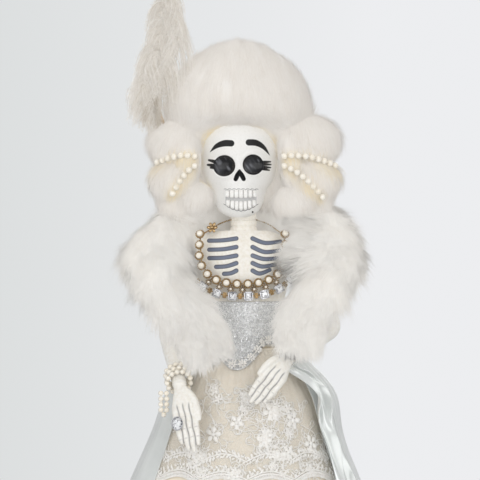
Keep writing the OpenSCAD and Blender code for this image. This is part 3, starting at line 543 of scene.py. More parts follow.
def net_holes():
    """Opens the lace ground between threads about a millimetre apart."""
    c = node(NET, "ShaderNodeTexCoord")
    v = node(NET, "ShaderNodeTexVoronoi", feature="DISTANCE_TO_EDGE", Scale=850.0)
    wire(NET, c.outputs["Object"], v.inputs["Vector"])
    wire(NET, map_range(NET, v.outputs["Distance"], 0.10, 0.16, 0.75, 0.06), shader(NET, "Alpha"))


net_holes()


# Gown, in millimetres above the table

FORM_TOP_R, FORM_FLARE, FORM_FOOT = 26, 126, 14
GOWN_DEPTH = 0.86
PETTICOAT_FOLDS, OVERSKIRT_FOLDS, GATHERS = 14, 8, 46
CLOTH, NET_CLOTH = 0.6, 0.25


def form_r(z):
    return FORM_TOP_R + FORM_FLARE * (np.maximum(0, WAIST - z) / (WAIST - FORM_FOOT)) ** 0.72


def drop(z):
    """Share of the way down from the waist to the table."""
    return (WAIST - z) / WAIST


def fold_depth(z):
    return 0.3 + 3.2 * drop(z)


def petticoat_r(z, a):
    return form_r(z) + 1.25 + fold_depth(z) * (1 + np.cos(PETTICOAT_FOLDS * a)) / 2


def overskirt_r(z, s):
    """Radius at share s of the way round from one front edge to the other."""
    base = form_r(z) + fold_depth(z) + 4.35 + 6 * bell(z, WAIST - 36, 26)
    return base + (1 + 7 * drop(z)) * (1 - np.cos(TAU * OVERSKIRT_FOLDS * s)) / 2


def gown(r, a, z):
    """Points at a turn a from the front, on ovals that are flatter from front to back."""
    return vec(r * np.sin(a), -r * GOWN_DEPTH * np.cos(a), z)


def heights(low, high, count, power=1.5):
    """Rows from low to high, closer together near the top."""
    return high - (high - low) * np.linspace(1, 0, count) ** power


def make_petticoat():
    a = np.linspace(-math.pi, math.pi, 337)[:-1]
    aa, zz = np.meshgrid(a, heights(3, WAIST - 1, 100))
    gathers = 0.5 * bell(zz, WAIST, 50) * np.cos(GATHERS * aa + 1.5 * np.sin(3 * aa))
    ripple = 1.3 * noise(vec(aa * 40, zz * 0.06, 0), 2.5, 2) * drop(zz)
    grid = gown(petticoat_r(zz, aa) + gathers + ripple - 0.4, aa, zz)
    o = add_mesh("petticoat_cloth", cloth(grid, CLOTH, True), SATIN, "petticoat")


def lace_edge(a):
    return 196 + 6 * np.abs(np.sin(7 * a))


def lace_place(a, z, lift):
    """A point of the lace over the petticoat."""
    return gown(petticoat_r(z, a) + 1.0 + lift, a, z)


def make_net():
    a = np.linspace(-math.pi, math.pi, 337)[:-1]
    zz = mix(lace_edge(a)[None], WAIST - 2, heights(0, 1, 60, 1.4)[:, None])
    aa = np.broadcast_to(a, zz.shape)
    grid = lace_place(aa, zz, 0.4 * bell(zz, WAIST, 40) * np.cos(GATHERS * aa))
    o = add_mesh("lace_net", cloth(grid, NET_CLOTH, True), NET, "lace_tier")
    return o, grid


def make_overskirt():
    s = np.linspace(0, 1, 480)
    open_half = math.radians(54)
    ss, zz = np.meshgrid(s, heights(3, WAIST - 5, 100))
    turn = open_half + (TAU - 2 * open_half) * ss
    creases = (0.5 + 2.0 * drop(zz)) * noise(vec(ss * 55, zz * 0.012, 0), 1.0, 3)
    pleats = 0.5 * bell(zz, WAIST, 60) * np.cos(TAU * 40 * ss)
    fuller = 9.0 * bell(zz, WAIST - 36, 34) * bell(ss, 0.13, 0.07)
    grid = gown(overskirt_r(zz, ss) + creases * np.sin(math.pi * ss) ** 0.3 + pleats + fuller, turn, zz)
    o = add_mesh("overskirt_cloth", cloth(grid, CLOTH, False), GREY, "overskirt")
    o.visible_shadow = False


def sash_line(s):
    """Middle of the sash, its outward and side directions and its half-width, from the wrist down."""
    z = mix(WAIST - 14, 60.0, s**1.25)
    a = np.radians(mix(60.0, 50.0, ease(s)) - 20 * bell(s, 0, 0.1))
    p = gown(overskirt_r(z, 0 * s) + 7.5 + 7 * drop(z), a, z)
    out = vec(np.sin(a), -np.cos(a), 0)
    side = vec(np.cos(a), np.sin(a), 0)
    return p, out, side, mix(6.0, 10.5, ease(np.minimum(1, s * 2.2)))


def make_sash():
    s = np.linspace(1, 0, 240)
    c = np.linspace(-1, 1, 60)
    p, out, side, half = sash_line(s)
    spread = 8.0 * ease((s - 0.06) / 0.25)
    p = p - side * spread[:, None]
    twist = np.radians(24) * bell(s, 0.26, 0.07)
    u = side * np.cos(twist)[:, None] + out * np.sin(twist)[:, None]
    v = unit(np.cross(u, unit(np.gradient(p, axis=0))))
    v = v * np.sign((v * out).sum(axis=-1, keepdims=True))
    cc, ss = np.meshgrid(c, s)
    gather = 0.9 * np.sin(13 * cc + 2 * ss) * (1 - ease(ss / 0.25))
    sharp = 1 - np.abs(np.sin(2.1 * cc + 7.0 * ss + 0.6))
    folds = 6.0 * sharp**2 * ease(ss / 0.12) + 1.3 * np.sin(7 * cc - 12 * ss) + gather
    folds = folds + 0.7 * noise(vec(cc * 3, ss * 9, 0), 1.0, 6)
    reach = half[:, None] * cc
    grid = p[:, None] + u[:, None] * reach[..., None] + v[:, None] * folds[..., None]
    o = add_mesh("sash_cloth", cloth(grid, CLOTH, False), SASH, "sash")


# Lace: corded flowers and scrolls laid on the net, drawn in the plane of the skirt front


def front_r(z):
    """Radius on which turns from the front are laid out flat."""
    return form_r(z) + 4


def laid_out(turn, z):
    """Flat points (x along the front, z above the table)."""
    return vec(turn * front_r(z), z)


def front_turn(q):
    return q[..., 0] / front_r(q[..., 1])


def skirt_plane(q, lift=0.35):
    """Lays flat points on the lace."""
    return lace_place(front_turn(q), q[..., 1], lift)


def cords(lines, radius, n):
    """Tubes along flat lines on the skirt."""
    parts = []
    for line in lines:
        a = front_turn(line)
        parts.append(tube(skirt_plane(line), radius, wide=vec(np.sin(a), -np.cos(a), 0.3), n=n))
    return joined(parts)


def scroll(start, length, bend, seed):
    """A wandering line of corded lace from a start point."""
    steps = max(10, int(length / 0.9))
    s = np.linspace(0, length, steps)
    k = noise(vec(s, 0, 0), 5.0, seed)
    turn = np.cumsum(k) * bend * length / steps + seed * 2.4
    step = vec(np.cos(turn), np.sin(turn)) * (length / steps)
    return np.asarray(start) + np.cumsum(step, axis=0)


def flower_lines(mid, size, petals, seed):
    """Outlines of a lace flower's petals and its middle."""
    t = np.linspace(0, TAU, 60)
    r = size * (0.62 + 0.38 * np.abs(np.cos(petals * t / 2 + seed)) ** 0.7)
    ring = vec(np.cos(t), np.sin(t))
    return [mid + r[:, None] * ring, mid + 0.3 * size * ring[::4]]


# Larger lace flowers: middle (x, height) and size
LACE_BLOSSOMS = (
    ((21, 254), 7.0), ((42, 247), 7.5), ((15, 231), 6.5), ((-8, 246), 6.0), ((-28, 236), 6.5),
    ((60, 228), 7.0), ((36, 222), 6.0), ((-48, 222), 6.5), ((2, 266), 4.5),
)


def lace_leaf(mid, long, wide, turn):
    """A solid leaf of lace, thicker at its middle, as points and faces."""
    rows, n = 5, 18
    r = np.linspace(1, 0.02, rows)[:, None]
    t = angles(n)
    x, z = long * r * np.cos(t), wide * r * np.sin(t)
    c, k = way(turn)
    flat = vec(mid[0] + x * c - z * k, mid[1] + x * k + z * c)
    p = skirt_plane(flat, 0.2 + 1.0 * np.sqrt(1 - (0.98 * r) ** 2))
    return p.reshape(-1, 3), [grid_faces(rows, n, True)]


def lace_blossom(mid, size, seed):
    """Five solid petals round a knot."""
    parts = [lace_leaf(mid, size * 0.24, size * 0.24, 0)]
    for turn in angles(5) + seed:
        parts.append(lace_leaf(mid + 0.62 * size * way(turn), size * 0.38, size * 0.27, turn))
    return parts


# Rows of leaves above the lace edge: height, count and sway
LEAF_ROWS = ((8.0, 110, 1.4), (19.0, 150, 2.2))
# Cords along the lace edge: heights above it, and how far they run to each side in radians
EDGE_CORDS = (0.0, 3.2, 5.0, 19.0)
LACE_TURN = 1.3
SMALL_FLOWERS = 150


def large_flowers(seed, solid, lines):
    for place, size in LACE_BLOSSOMS:
        solid += lace_blossom(np.array(place), size, size)
        for j, turn in enumerate(angles(14) + size):
            lines.append(scroll(place + size * way(turn), seed.uniform(12, 26), 0.9, j * 3.1 + size * 7.7))


def leaf_rows(seed, solid, lines):
    for lift, count, sway in LEAF_ROWS:
        for k in range(count):
            turn = mix(-1.25, 1.25, (k + seed.uniform(-0.2, 0.2)) / (count - 1))
            z = lace_edge(turn) + lift + sway * math.cos(k * math.pi) + seed.uniform(-0.6, 0.6)
            place = laid_out(turn, z)
            lean = (0.9 if k % 2 else -0.9) + seed.uniform(-0.4, 0.4)
            solid.append(lace_leaf(place, seed.uniform(1.4, 2.2), seed.uniform(0.7, 1.1), lean))
            if k % 3 == 0:
                start = place + np.array([0, sway])
                lines.append(scroll(start, seed.uniform(8, 14), 1.3, k * 5.3 + lift))


def edge_loops():
    """A cord that runs in small loops along the lace edge."""
    a = np.linspace(-LACE_TURN, LACE_TURN, 1400)
    z = lace_edge(a) + 1.6 + 1.4 * np.sin(a * 420)
    return laid_out(a, z) + vec(0.9 * np.cos(a * 420), 0)


def small_flowers(seed, solid, lines):
    """Flowers strewn over the front; only those on the lace are kept."""
    for k in range(SMALL_FLOWERS):
        mid = np.array([seed.uniform(-112, 112), seed.uniform(30, 272)])
        size = seed.uniform(3.2, 6.5)
        if abs(front_turn(mid)) > 1.25:
            continue
        outline = flower_lines(mid, size, int(seed.integers(5, 7)), k)
        for j in range(9):
            start = mid + size * way(seed.uniform(0, TAU))
            outline.append(scroll(start, seed.uniform(10, 26), 1.1, k * 9.7 + j))
        if mid[1] > lace_edge(front_turn(mid)):
            solid += lace_blossom(mid, size * 0.8, k)
            lines += outline


def on_front(line):
    """Whether a flat line stays on the front of the skirt."""
    z = line[:, 1]
    return abs(front_turn(line)).max() < 1.35 and z.max() < 290 and z.min() > 8


def make_lace():
    seed = np.random.default_rng(5)
    lines, solid = [], []
    large_flowers(seed, solid, lines)
    leaf_rows(seed, solid, lines)
    a = np.linspace(-LACE_TURN, LACE_TURN, 520)
    thick = [laid_out(a, lace_edge(a) + low) for low in EDGE_CORDS]
    lines.append(edge_loops())
    small_flowers(seed, solid, lines)
    lines = [line for line in lines if on_front(line)]
    flowers = add_mesh("lace_flowers", joined(solid), CORD)
    fine = add_mesh("lace_scrolls", cords(lines, 0.42, 4), CORD)
    heavy = add_mesh("lace_edging", cords(thick, 0.75, 6), CORD)


# Torso and neck, heights above the waist

TORSO_H, TORSO_X, HEAD_X = 98.0, -2.0, -6.0
torso_w = smooth_table([
    (0, 26.9), (0.13, 27.7), (0.36, 33.6), (0.6, 39.1), (0.8, 42), (0.9, 39.9), (0.96, 33.6), (1, 21.8)
])
torso_d = smooth_table([
    (0, 22.1), (0.13, 22.1), (0.36, 24.8), (0.6, 27), (0.8, 26.2), (0.9, 22.1), (0.96, 17.3), (1, 13.5)
])


# Painted ribs: heights of the inner ends, then outer reach and drops on each side
RIB_Z = (91.3, 84.1, 76.9, 70.6, 64.3)
RIBS_LEFT = ((30.2, 1.9), (30.0, 2.3), (30.0, 2.2), (24.2, 3.2), (17.5, 2.7))
RIBS_RIGHT = ((30.2, 3.8, 2.5), (29.4, 4.2, 2.9), (28.5, 2.9, 2.1), (25.2, 2.9, 1.3), (21.0, 2.5, -0.6))


def rib_strokes(p):
    """Distance to the painted ribs, at points (x from the breastbone, height)."""
    best = np.full(p.shape[:-1], 1e9)
    for z, (left, fall), (right, mid, end) in zip(RIB_Z, RIBS_LEFT, RIBS_RIGHT):
        left_line = [(-left, z - fall), (-left / 2 - 3, z - 0.8 * fall), (-7.2, z)]
        right_line = [(6.5, z), (right / 2 + 2, z - mid), (right, z - end)]
        best = np.minimum(best, stroke(p, left_line, (1.8, 1.8, 1.9)))
        best = np.minimum(best, stroke(p, right_line, (1.9, 1.8, 1.6)))
    return best


def make_torso():
    z = heights(0, TORSO_H, 150, 1.3)
    a = np.linspace(0, TAU, 281)[:-1] - math.pi / 2
    aa, zz = np.meshgrid(a, z)
    w, d = torso_w(zz / TORSO_H), torso_d(zz / TORSO_H)
    x, y = w * np.cos(aa), d * np.sin(aa)
    front = y < 0
    ribs = rib_strokes(vec(x - 1.0, zz))
    ribs = np.where(front, ribs, FAR)
    dent = 0.7 * ease((0.4 - ribs) / 0.8)
    breast = 0.8 * bell(x - 1, 0, 3.0) * ease((zz - 50) / 20)
    y = y + np.where(front, dent + breast, 0)
    rings = vec(x + TORSO_X, y, zz + WAIST)
    ink = with_ends(ribs, FAR)
    add_mesh("torso_paint", skin(rings), IVORY, "torso", attrs={"ink": ink})


def turned(profile, mid, n=64):
    """A turned piece from (radius, height) rows about an upright axis."""
    p = np.asarray(profile, float)
    a = angles(n)
    x, y = p[:, :1] * np.cos(a), p[:, :1] * np.sin(a)
    return skin(vec(mid[0] + x, mid[1] + y, p[:, 1:]))


def make_neck():
    z = np.linspace(96, 119, 80)
    r = 10.7 + 3.2 * np.exp(-(z - 96) / 2.2) - 0.7 * bell(z, 101.6, 0.5) - 0.7 * bell(z, 107.0, 0.5)
    r = r + 0.25 * bell(z, 104.4, 2.0)
    shape = turned(vec(r, z + WAIST), (TORSO_X, 0))
    ink = np.full(len(shape[0]), FAR)
    add_mesh("neck_paint", shape, IVORY, "neck", attrs={"ink": ink})


# Skull, heights above the chin

SKULL_Z, SKULL_H = WAIST + 109.0, 95.0
skull_half = smooth_table([
    (0, 6.4), (0.016, 12.2), (0.06, 17), (0.12, 19.8), (0.2, 21.8), (0.25, 23.4), (0.3, 26.9), (0.36, 30.1),
    (0.43, 32), (0.585, 32), (0.72, 31), (0.85, 25.9), (0.945, 17), (1, 5.8)
], 0.014)
skull_mid = smooth_table([
    (0, -19), (0.016, -17), (0.06, -12), (0.12, -7), (0.2, -3), (0.29, 2), (0.375, 4), (0.46, 5), (1, 8)
])
skull_deep = smooth_table([
    (0, 7), (0.016, 11), (0.06, 18), (0.12, 25), (0.2, 31), (0.29, 36.5), (0.375, 39), (0.46, 39.5),
    (0.585, 40), (0.72, 38), (0.85, 32), (0.945, 21), (1, 8)
], 0.018)
EYES = (((-12.3, 43.0), 9.3, 8.9), ((11.9, 43.9), 8.8, 8.6))
MOUTH = 1.7


def face_y(u, v):
    t = v / SKULL_H
    return skull_mid(t) - skull_deep(t) * np.sqrt(np.maximum(0.02, 1 - (u / skull_half(t)) ** 2))


def nose_hole(p):
    left = stroke(p, [(0.5, 39.2), (-1.2, 35.2), (-2.7, 31.7)], (0.8, 1.9, 1.8))
    right = stroke(p, [(0.5, 39.2), (2.3, 35.2), (4.0, 31.9)], (0.8, 1.9, 1.8))
    return np.minimum(left, right)


# Lashes: root, tip and half-width at the root
LASHES = (
    ((-19.4, 46.4), (-25.4, 48.2), 1.5), ((-20.0, 43.2), (-26.3, 44.3), 1.6),
    ((-19.4, 41.4), (-24.0, 41.6), 1.2), ((18.3, 46.2), (26.6, 46.9), 1.15),
    ((18.6, 44.2), (26.9, 44.5), 1.15), ((18.6, 42.2), (26.6, 42.0), 1.15),
    ((18.0, 40.6), (25.6, 39.7), 1.1),
)


def socket_marks(p):
    return np.min([oval(p, mid, w, h) for mid, w, h in EYES], axis=0)


def face_ink(p):
    """Distance to what is painted black: brows, sockets, lashes, nose and a beauty mark."""
    marks = [
        stroke(p, [(-24.2, 55.0), (-18.8, 59.7), (-12.4, 61.8), (-6.5, 61.7)], (0.25, 1.9, 2.7, 2.7)),
        stroke(p, [(25.8, 52.4), (20.9, 58.6), (14.6, 62.2), (8.3, 62.5)], (0.25, 1.7, 2.6, 2.7)),
        nose_hole(p),
        socket_marks(p),
        oval(p, (11.5, 4.4), 0.75, 0.9),
    ]
    for root, tip, half in LASHES:
        line = [root, mix(np.array(root), np.array(tip), 0.55), tip]
        marks.append(stroke(p, line, (half, half * 0.85, half * 0.55), 4))
    return np.min(marks, axis=0)


def socket_reflections(p):
    """Share of painted reflection in the shining sockets: grey streaks and brighter patches."""
    u, v = p[..., 0], p[..., 1]
    turned_u = vec(0.8 * u + 0.6 * v, 0.35 * (0.8 * v - 0.6 * u), 0)
    streaks = ease((noise(turned_u, 1.5, 71) - 0.05) / 0.7)
    patch = ease((noise(vec(u, v, 0), 5.0, 72) + 0.25) / 0.9)
    # Brighter patches of painted reflection, one in each socket.
    highlight_patches = bell(u, 8.5, 4.5) * bell(v, 42.5, 5) + 0.7 * bell(u, -16, 3) * bell(v, 40.5, 4)
    share = 0.55 * streaks * patch + 0.6 * highlight_patches * (0.35 + 0.65 * streaks)
    return 0.8 * share * ease(-socket_marks(p) / 1.6)


def smile(u):
    """Height of the lower gum line."""
    return 5.7 + 7.4 * ((u - MOUTH) / 16.0) ** 2


def mouth_ground(p, half=13.0, top=22.6, low=0.4):
    """Distance to the grey ground behind the teeth."""
    u, v = p[..., 0], p[..., 1]
    return np.maximum(np.abs(u - MOUTH) - half, np.maximum(v - top, smile(u) + low - v))


def face_lines(p):
    """Distance to the thin gum lines."""
    u, v = p[..., 0], p[..., 1]
    upper = 23.0 + 0.75 * np.abs(np.cos((u - MOUTH) * math.pi / 3.8 + math.pi / 2))
    gums = np.maximum(np.abs(v - upper) - 0.26, np.abs(u - MOUTH - 0.3) - 14.6)
    lower = smile(u) - 0.6 * np.abs(np.cos((u - MOUTH) * math.pi / 3.6))
    chin = np.maximum(np.abs(v - lower) - 0.26, np.abs(u - MOUTH) - 14.6)
    return np.minimum(gums, chin)


def make_skull():
    s = np.linspace(0, math.pi, 230)
    t = (1 - np.cos(s)) / 2
    c = np.linspace(-1, 1, 261)[:-1]
    turn = math.pi * (0.5 * c + 0.5 * c**3)
    tt, th = np.meshgrid(t, turn, indexing="ij")
    u = skull_half(tt) * np.sin(th)
    v = tt * SKULL_H
    y = skull_mid(tt) - skull_deep(tt) * np.cos(th)
    p = vec(u, v)
    front = np.cos(th) > 0.1
    dent = np.zeros_like(u)
    for (mu, mv), w, h in EYES:
        r = np.hypot((u - mu) / w, (v - mv) / h)
        dent += 4.6 * (1 - np.clip(r, 0, 1) ** 2.4) - 0.9 * bell(r, 1.14, 0.16)
    dent += 2.6 * ease(-nose_hole(p) / 1.6)
    dent -= 1.3 * bell(u, MOUTH, 14) * bell(v, 14.5, 9.5)
    dent += 0.8 * (bell(u, 22, 5) + bell(u, -21, 5)) * bell(v, 21, 6)
    dent -= 0.9 * bell(u, 0.5, 4) * bell(v, 48, 9)
    dent += 1.3 * ease(-mouth_ground(p, 12.5, 22.4, 0.6))
    y = y + np.where(front, dent * np.cos(th), 0)
    rings = vec(u + HEAD_X, y, v + SKULL_Z)
    marks = {"ink": face_ink, "lines": face_lines, "mouth": mouth_ground, "wet": socket_marks}
    attrs = {key: with_ends(np.where(front, mark(p), FAR), FAR) for key, mark in marks.items()}
    # Share of painted reflection in the sockets.
    attrs["smear"] = with_ends(np.where(front, socket_reflections(p), 0), 0)
    o = add_mesh("skull_paint", skin(rings), BONE, "skull", attrs=attrs)
    o.visible_shadow = False


# Seven teeth in a row, counted from the middle one
TEETH = np.arange(7) - 3


def tooth_row(name, tops, bottoms, pitch, stands):
    u = MOUTH + TEETH * pitch
    v = (tops + bottoms) / 2
    y = face_y(u, v) - 0.75
    sizes = vec(pitch * 0.487, 1.5, (tops - bottoms) / 2)
    places = vec(u + HEAD_X, y, v + SKULL_Z)
    add_mesh(name, copies(ball(16, 12, 0.55), places, sizes, rot("z", u * 0.030)), ENAMEL, stands)


def make_teeth():
    bend = TEETH**2
    tooth_row("upper_tooth_row", 22.9 - 0.06 * bend, 15.9 + 0.10 * bend, 3.75, "upper_teeth")
    tooth_row("lower_tooth_row", 13.4 + 0.13 * bend, smile(MOUTH + TEETH * 3.6) + 0.2, 3.55, "lower_teeth")


# Arms, hands, ring and bracelet, measured from the waist

SHOULDER_R = 9.6
# Shoulder, elbow, wrist, finger tip, and the side of the hand that bears the thumb
ARMS = {
    "right": ((-39, 0, 87), (-67, 4, 15), (-55, -50, -30), (-44, -78, -84), 1),
    "left": ((35, 0, 87), (75, 4, 16), (36, -51, -6), (4, -73, -45), -1),
}


def make_arm(side):
    shoulder, elbow, wrist = (np.array(q, float) for q in ARMS[side][:3])
    low, high = mix(shoulder, elbow, 0.82), mix(elbow, wrist, 0.16)
    q = np.linspace(0, 1, 16)[:, None]
    bend = mix(bow(low, elbow, high, q), elbow, 0.25 * np.sin(math.pi * q))
    upper = mix(shoulder, low, np.linspace(0, 1, 40)[:-1, None])
    fore = mix(high, wrist, np.linspace(0, 1, 60)[1:, None])
    b = np.linspace(0, math.pi / 2, 9)[:-1, None]
    cap = shoulder - unit(elbow - shoulder) * SHOULDER_R * np.cos(b)
    path = np.concatenate([cap, upper, bend, fore])
    r = np.concatenate([
        SHOULDER_R * np.sin(b[:, 0]) + 0.05, np.linspace(SHOULDER_R, 8.3, len(upper)),
        8.2 - 0.3 * np.sin(math.pi * q[:, 0]), mix(8.1, 5.9, ease(np.linspace(0, 1, len(fore)))),
    ])
    shape = tube(path + UP, r, n=40)
    attrs = {"ink": np.zeros(len(shape[0]))}
    add_mesh(side + "_arm_paint", shape, HAND, side + "_arm", attrs=attrs)


def hand_frame(side):
    """Wrist, length, turning matrix and thumb side of a hand modelled along -Z with its back at -Y."""
    wrist, tip, thumb = (np.array(q, float) for q in ARMS[side][2:])
    v = tip - wrist
    swing = math.atan2(-v[0], -v[2])
    lift = math.atan2(v[1], math.hypot(v[0], v[2]))
    return wrist + UP, np.linalg.norm(v), rot("y", swing) @ rot("x", lift), float(thumb)


# Share of the hand's length that each finger reaches, from the thumb's side
FINGERS = (0.86, 0.96, 1.0, 0.92)


def finger_x(thumb, i):
    """Place of a finger across the hand."""
    return -thumb * (7.2 - 4.8 * i)


def hand_parts(length, knuckle, thumb):
    """Palm, fingers and thumb as tubes."""
    stations = [(0, 0, 4), (0, 0, -4), (0, -0.4, -12), (0, -0.6, knuckle + 4), (0, -0.5, knuckle - 4)]
    t = np.linspace(0, 1, 24)
    width = spline([5.4, 5.6, 7.8, 10.2, 10.0], t)
    parts = [tube(spline(stations, t), width, wide=(1, 0, 0), n=32, flat=0.52)]
    q = np.linspace(0, 1, 40)
    r = np.interp(q, [0, 0.22, 0.45, 0.6, 0.8, 0.94, 1], [2.0, 2.95, 2.5, 2.6, 2.2, 1.6, 0.7])
    for i, reach in enumerate(FINGERS):
        x = finger_x(thumb, i)
        end = -reach * length + 1.2
        stations = [
            (x * 0.75, -1.0, knuckle + 8), (x, -2.2, knuckle), (x * 1.03, -2.4, mix(knuckle, end, 0.45)),
            (x * 0.97, -1.2, mix(knuckle, end, 0.75)), (x * 0.86, 0.6, end),
        ]
        parts.append(tube(spline(stations, q), r, wide=(1, 0, 0), n=20))
    q = np.linspace(0, 1, 30)
    r = np.interp(q, [0, 0.4, 0.7, 0.93, 1], [3.2, 3.4, 2.8, 2.0, 0.9])
    stations = [
        (thumb * 3, -0.5, -4), (thumb * 8.4, -2.2, -0.22 * length), (thumb * 10.8, -3.2, -0.40 * length),
        (thumb * 11, -3.6, -0.58 * length),
    ]
    parts.append(tube(spline(stations, q), r, wide=(0, 1, 0), n=20))
    return joined(parts)


def make_hand(side):
    wrist, length, turn, thumb = hand_frame(side)
    knuckle = -0.42 * length
    o = add_mesh(side + "_hand_paint", hand_parts(length, knuckle, thumb), HAND, side + "_hand")
    remesh = o.modifiers.new("join", "REMESH")
    remesh.mode = "VOXEL"
    remesh.voxel_size = 0.5 * MM
    smooth = o.modifiers.new("soften", "SMOOTH")
    smooth.factor = 0.5
    smooth.iterations = 3
    bake(o)
    me = o.data
    q = np.empty(len(me.vertices) * 3, np.float32)
    me.vertices.foreach_get("co", q)
    q = q.reshape(-1, 3) / MM
    ink = hand_ink(q, length, knuckle, thumb)
    q = q @ turn.T + wrist
    me.vertices.foreach_set("co", (q * MM).astype(np.float32).ravel())
    a = me.attributes.new("ink", "FLOAT", "POINT")
    a.data.foreach_set("value", ink.astype(np.float32))
    me.polygons.foreach_set("use_smooth", np.full(len(me.polygons), True))
    me.update()


def bake(o):
    """Applies a piece's modifiers."""
    dg = bpy.context.evaluated_depsgraph_get()
    me = bpy.data.meshes.new_from_object(o.evaluated_get(dg))
    o.modifiers.clear()
    o.data = me


def hand_ink(q, length, knuckle, thumb):
    """Share of dark wash between the fingers and on their joints."""
    x, y, z = q.T
    along = ease((knuckle + 9 - z) / 5) * ease((z + length * 0.98) / 6)
    share = np.zeros(len(q))
    for i in range(3):
        groove = finger_x(thumb, i + 0.5) + 0.3 * np.sin(z * 0.4 + i)
        share = np.maximum(share, along * bell(x, groove, 0.55) * (y < 0.5))
    for i in range(4):
        for at in (0.47, 0.72):
            joint = mix(knuckle, -0.93 * length, at)
            crease = bell(z, joint, 0.45) * bell(x, finger_x(thumb, i) * 1.03, 1.6)
            share = np.maximum(share, 0.45 * crease * (y < 0))
    return np.clip(share, 0, 0.85)


# Painted reflections of a stone's facets, from light to dark, and how often each comes
FACET_REFLECTIONS, FACET_SHARES = (0.0, 0.05, 0.3, 0.65, 0.95), (0.44, 0.16, 0.14, 0.12, 0.14)


def gem_reflections(shape, seed):
    """Splits a shape of triangles into single facets, each with a random tone of painted reflection, light
    or dark.
    """
    v, (tris,) = shape
    tones = np.random.default_rng(seed).choice(FACET_REFLECTIONS, len(tris), p=FACET_SHARES)
    facets = np.arange(tris.size).reshape(-1, 3)
    return v[tris].reshape(-1, 3), [facets], np.repeat(tones, 3)


def cut_stone(outline, depth):
    """Facets of a stone with a flat table, from its outline (n, 2) in the plane z = 0."""
    n = len(outline)
    levels = [(0.96, -depth * 0.3), (1.0, 0.0), (0.8, depth * 0.55), (0.58, depth)]
    rings = [np.column_stack([outline * s, np.full(n, z)]) for s, z in levels]
    v = np.concatenate([*rings, [[0, 0, depth]]])
    j = np.arange(n)
    k = (j + 1) % n
    tris = []
    for a in range(0, (len(levels) - 1) * n, n):
        tris.append(vec(a + j, a + k, a + n + j))
        tris.append(vec(a + k, a + n + k, a + n + j))
    top = (len(levels) - 1) * n
    tris.append(vec(top + j, top + k, len(v) - 1))
    return v, [np.concatenate(tris)]


def make_ring():
    wrist, tip = (np.array(q, float) for q in ARMS["right"][2:4])
    spot = mix(wrist, tip, 0.56) + vec(-7.6, -5.4, 0) + UP
    turn = rot("x", math.radians(66))
    a = angles(22)
    beads = copies(ball(10, 8), vec(4.5 * np.cos(a), 5.7 * np.sin(a), 1.2), 0.62)
    wide, h = np.array([(2.6, -3.4), (3.6, -2.6), (4.2, -1.0), (4.5, 0.4), (4.3, 0.9)]).T[..., None]
    a = angles(64)
    cup = skin(vec(wide * np.cos(a), (wide + 1.2) * np.sin(a), h))
    add_mesh("ring_bezel", moved(joined([cup, beads]), turn, spot), SILVER, "ring_setting")
    a = angles(16) + TAU / 32
    # Each facet gets a painted reflection, light or dark.
    v, f, tone = gem_reflections(cut_stone(vec(3.95 * np.cos(a), 5.15 * np.sin(a)), 2.0), 4)
    gem = moved((v + vec(0, 0, 1.0), f), turn, spot)
    add_mesh("ring_gem", gem, CRYSTAL, "ring_stone", smooth=False, attrs={"tone": tone})


def axes_along(p, q):
    """Matrix whose third axis points from p to q, as a rod is laid."""
    v = np.asarray(q, float) - np.asarray(p, float)
    return rot("z", math.atan2(v[1], v[0])) @ rot("y", math.acos(v[2] / np.linalg.norm(v)))


STRING_R = 0.45


def make_bracelet():
    elbow, wrist = (np.array(q, float) for q in ARMS["right"][1:3])
    turn = axes_along(wrist, elbow)
    tilt = math.radians(14)
    bead_d, count = 4.4, 13
    r = (6 + 0.8 + bead_d / 2) / math.cos(tilt) + 0.6
    pearl = ball(20, 14)
    string = tube(circle(r, np.linspace(0, TAU, 90)), STRING_R, wide=(0, 0, 1))
    for k, name in enumerate(("upper", "middle", "lower")):
        a = (np.arange(count) + 0.5 * (k % 2)) / count * TAU
        strand = joined([copies(pearl, circle(r, a), bead_d / 2), string])
        step = vec(0, 0, 13 - k * (bead_d + 0.02) / math.cos(tilt))
        strand = moved(moved(strand, rot("y", tilt), step), turn, wrist + UP)
        add_mesh("strand_" + name, strand, PEARL, "bracelet_" + name, "bracelet")
    rows, gap, pitch = 4, bead_d * 0.54, bead_d * 1.04
    top = wrist + vec(-13, -3, -6.5) + UP
    foot = top + vec(0, 0, -pitch * (rows - 1) - math.sqrt(pitch**2 - gap**2))
    left = [top + vec(-gap, 0, -pitch * i) for i in range(rows)]
    right = [top + vec(gap, 0, -pitch * i) for i in reversed(range(rows))]
    path = np.array([*left, foot, *right])
    loop = joined([copies(pearl, path, bead_d / 2), tube(path, STRING_R)])
    add_mesh("strand_loop", loop, PEARL, "bracelet_loop", "bracelet")


# Fur, cotton and feather: soft bases with real hairs


def hair_piece(name, hairs, facing, width, mat, tone, softness=0.75, lean=(0, 0, 0), body="figure", **more):
    """Hairs (k, s, 3) as one piece, shaded mostly by the surface that they grow from.

    Lean turns its normals towards the front, or towards the back on surfaces that face there.
    """
    shape, owner = ribbons(hairs, facing, width)
    flip = 1 - 2 * ease((facing[:, 1] - 0.15) / 0.5)
    surface = unit(facing + np.array(lean) * vec(flip, flip, 1))
    normals = surface[owner] * softness + (1 - softness) * unit(noise3(shape[0], 3.0))
    attrs = {key: value[owner] for key, value in {"tone": tone, **more}.items()}
    o = add_mesh(name, shape, mat, body=body, attrs=attrs, normals=normals)
    o.visible_shadow = False


def shades(roots, mid, swing, spread, size=7.0, seed=41):
    """Tones of hairs: patches of about the given size and a random part for each hair."""
    return np.clip(mid + swing * noise(roots, size, seed) + rng.normal(0, spread, len(roots)), 0, 1)


def clumped(hairs, guides, share):
    """Draws each hair towards the guide hair nearest to its root, more at the tip."""
    q = guides[:, 0]
    near = [np.argmax(p @ q.T - (q**2).sum(axis=1) / 2, axis=1) for p in np.array_split(hairs[:, 0], 16)]
    s = np.linspace(0, 1, hairs.shape[1])[None, :, None]
    return mix(hairs, guides[np.concatenate(near)], share * s**1.2)


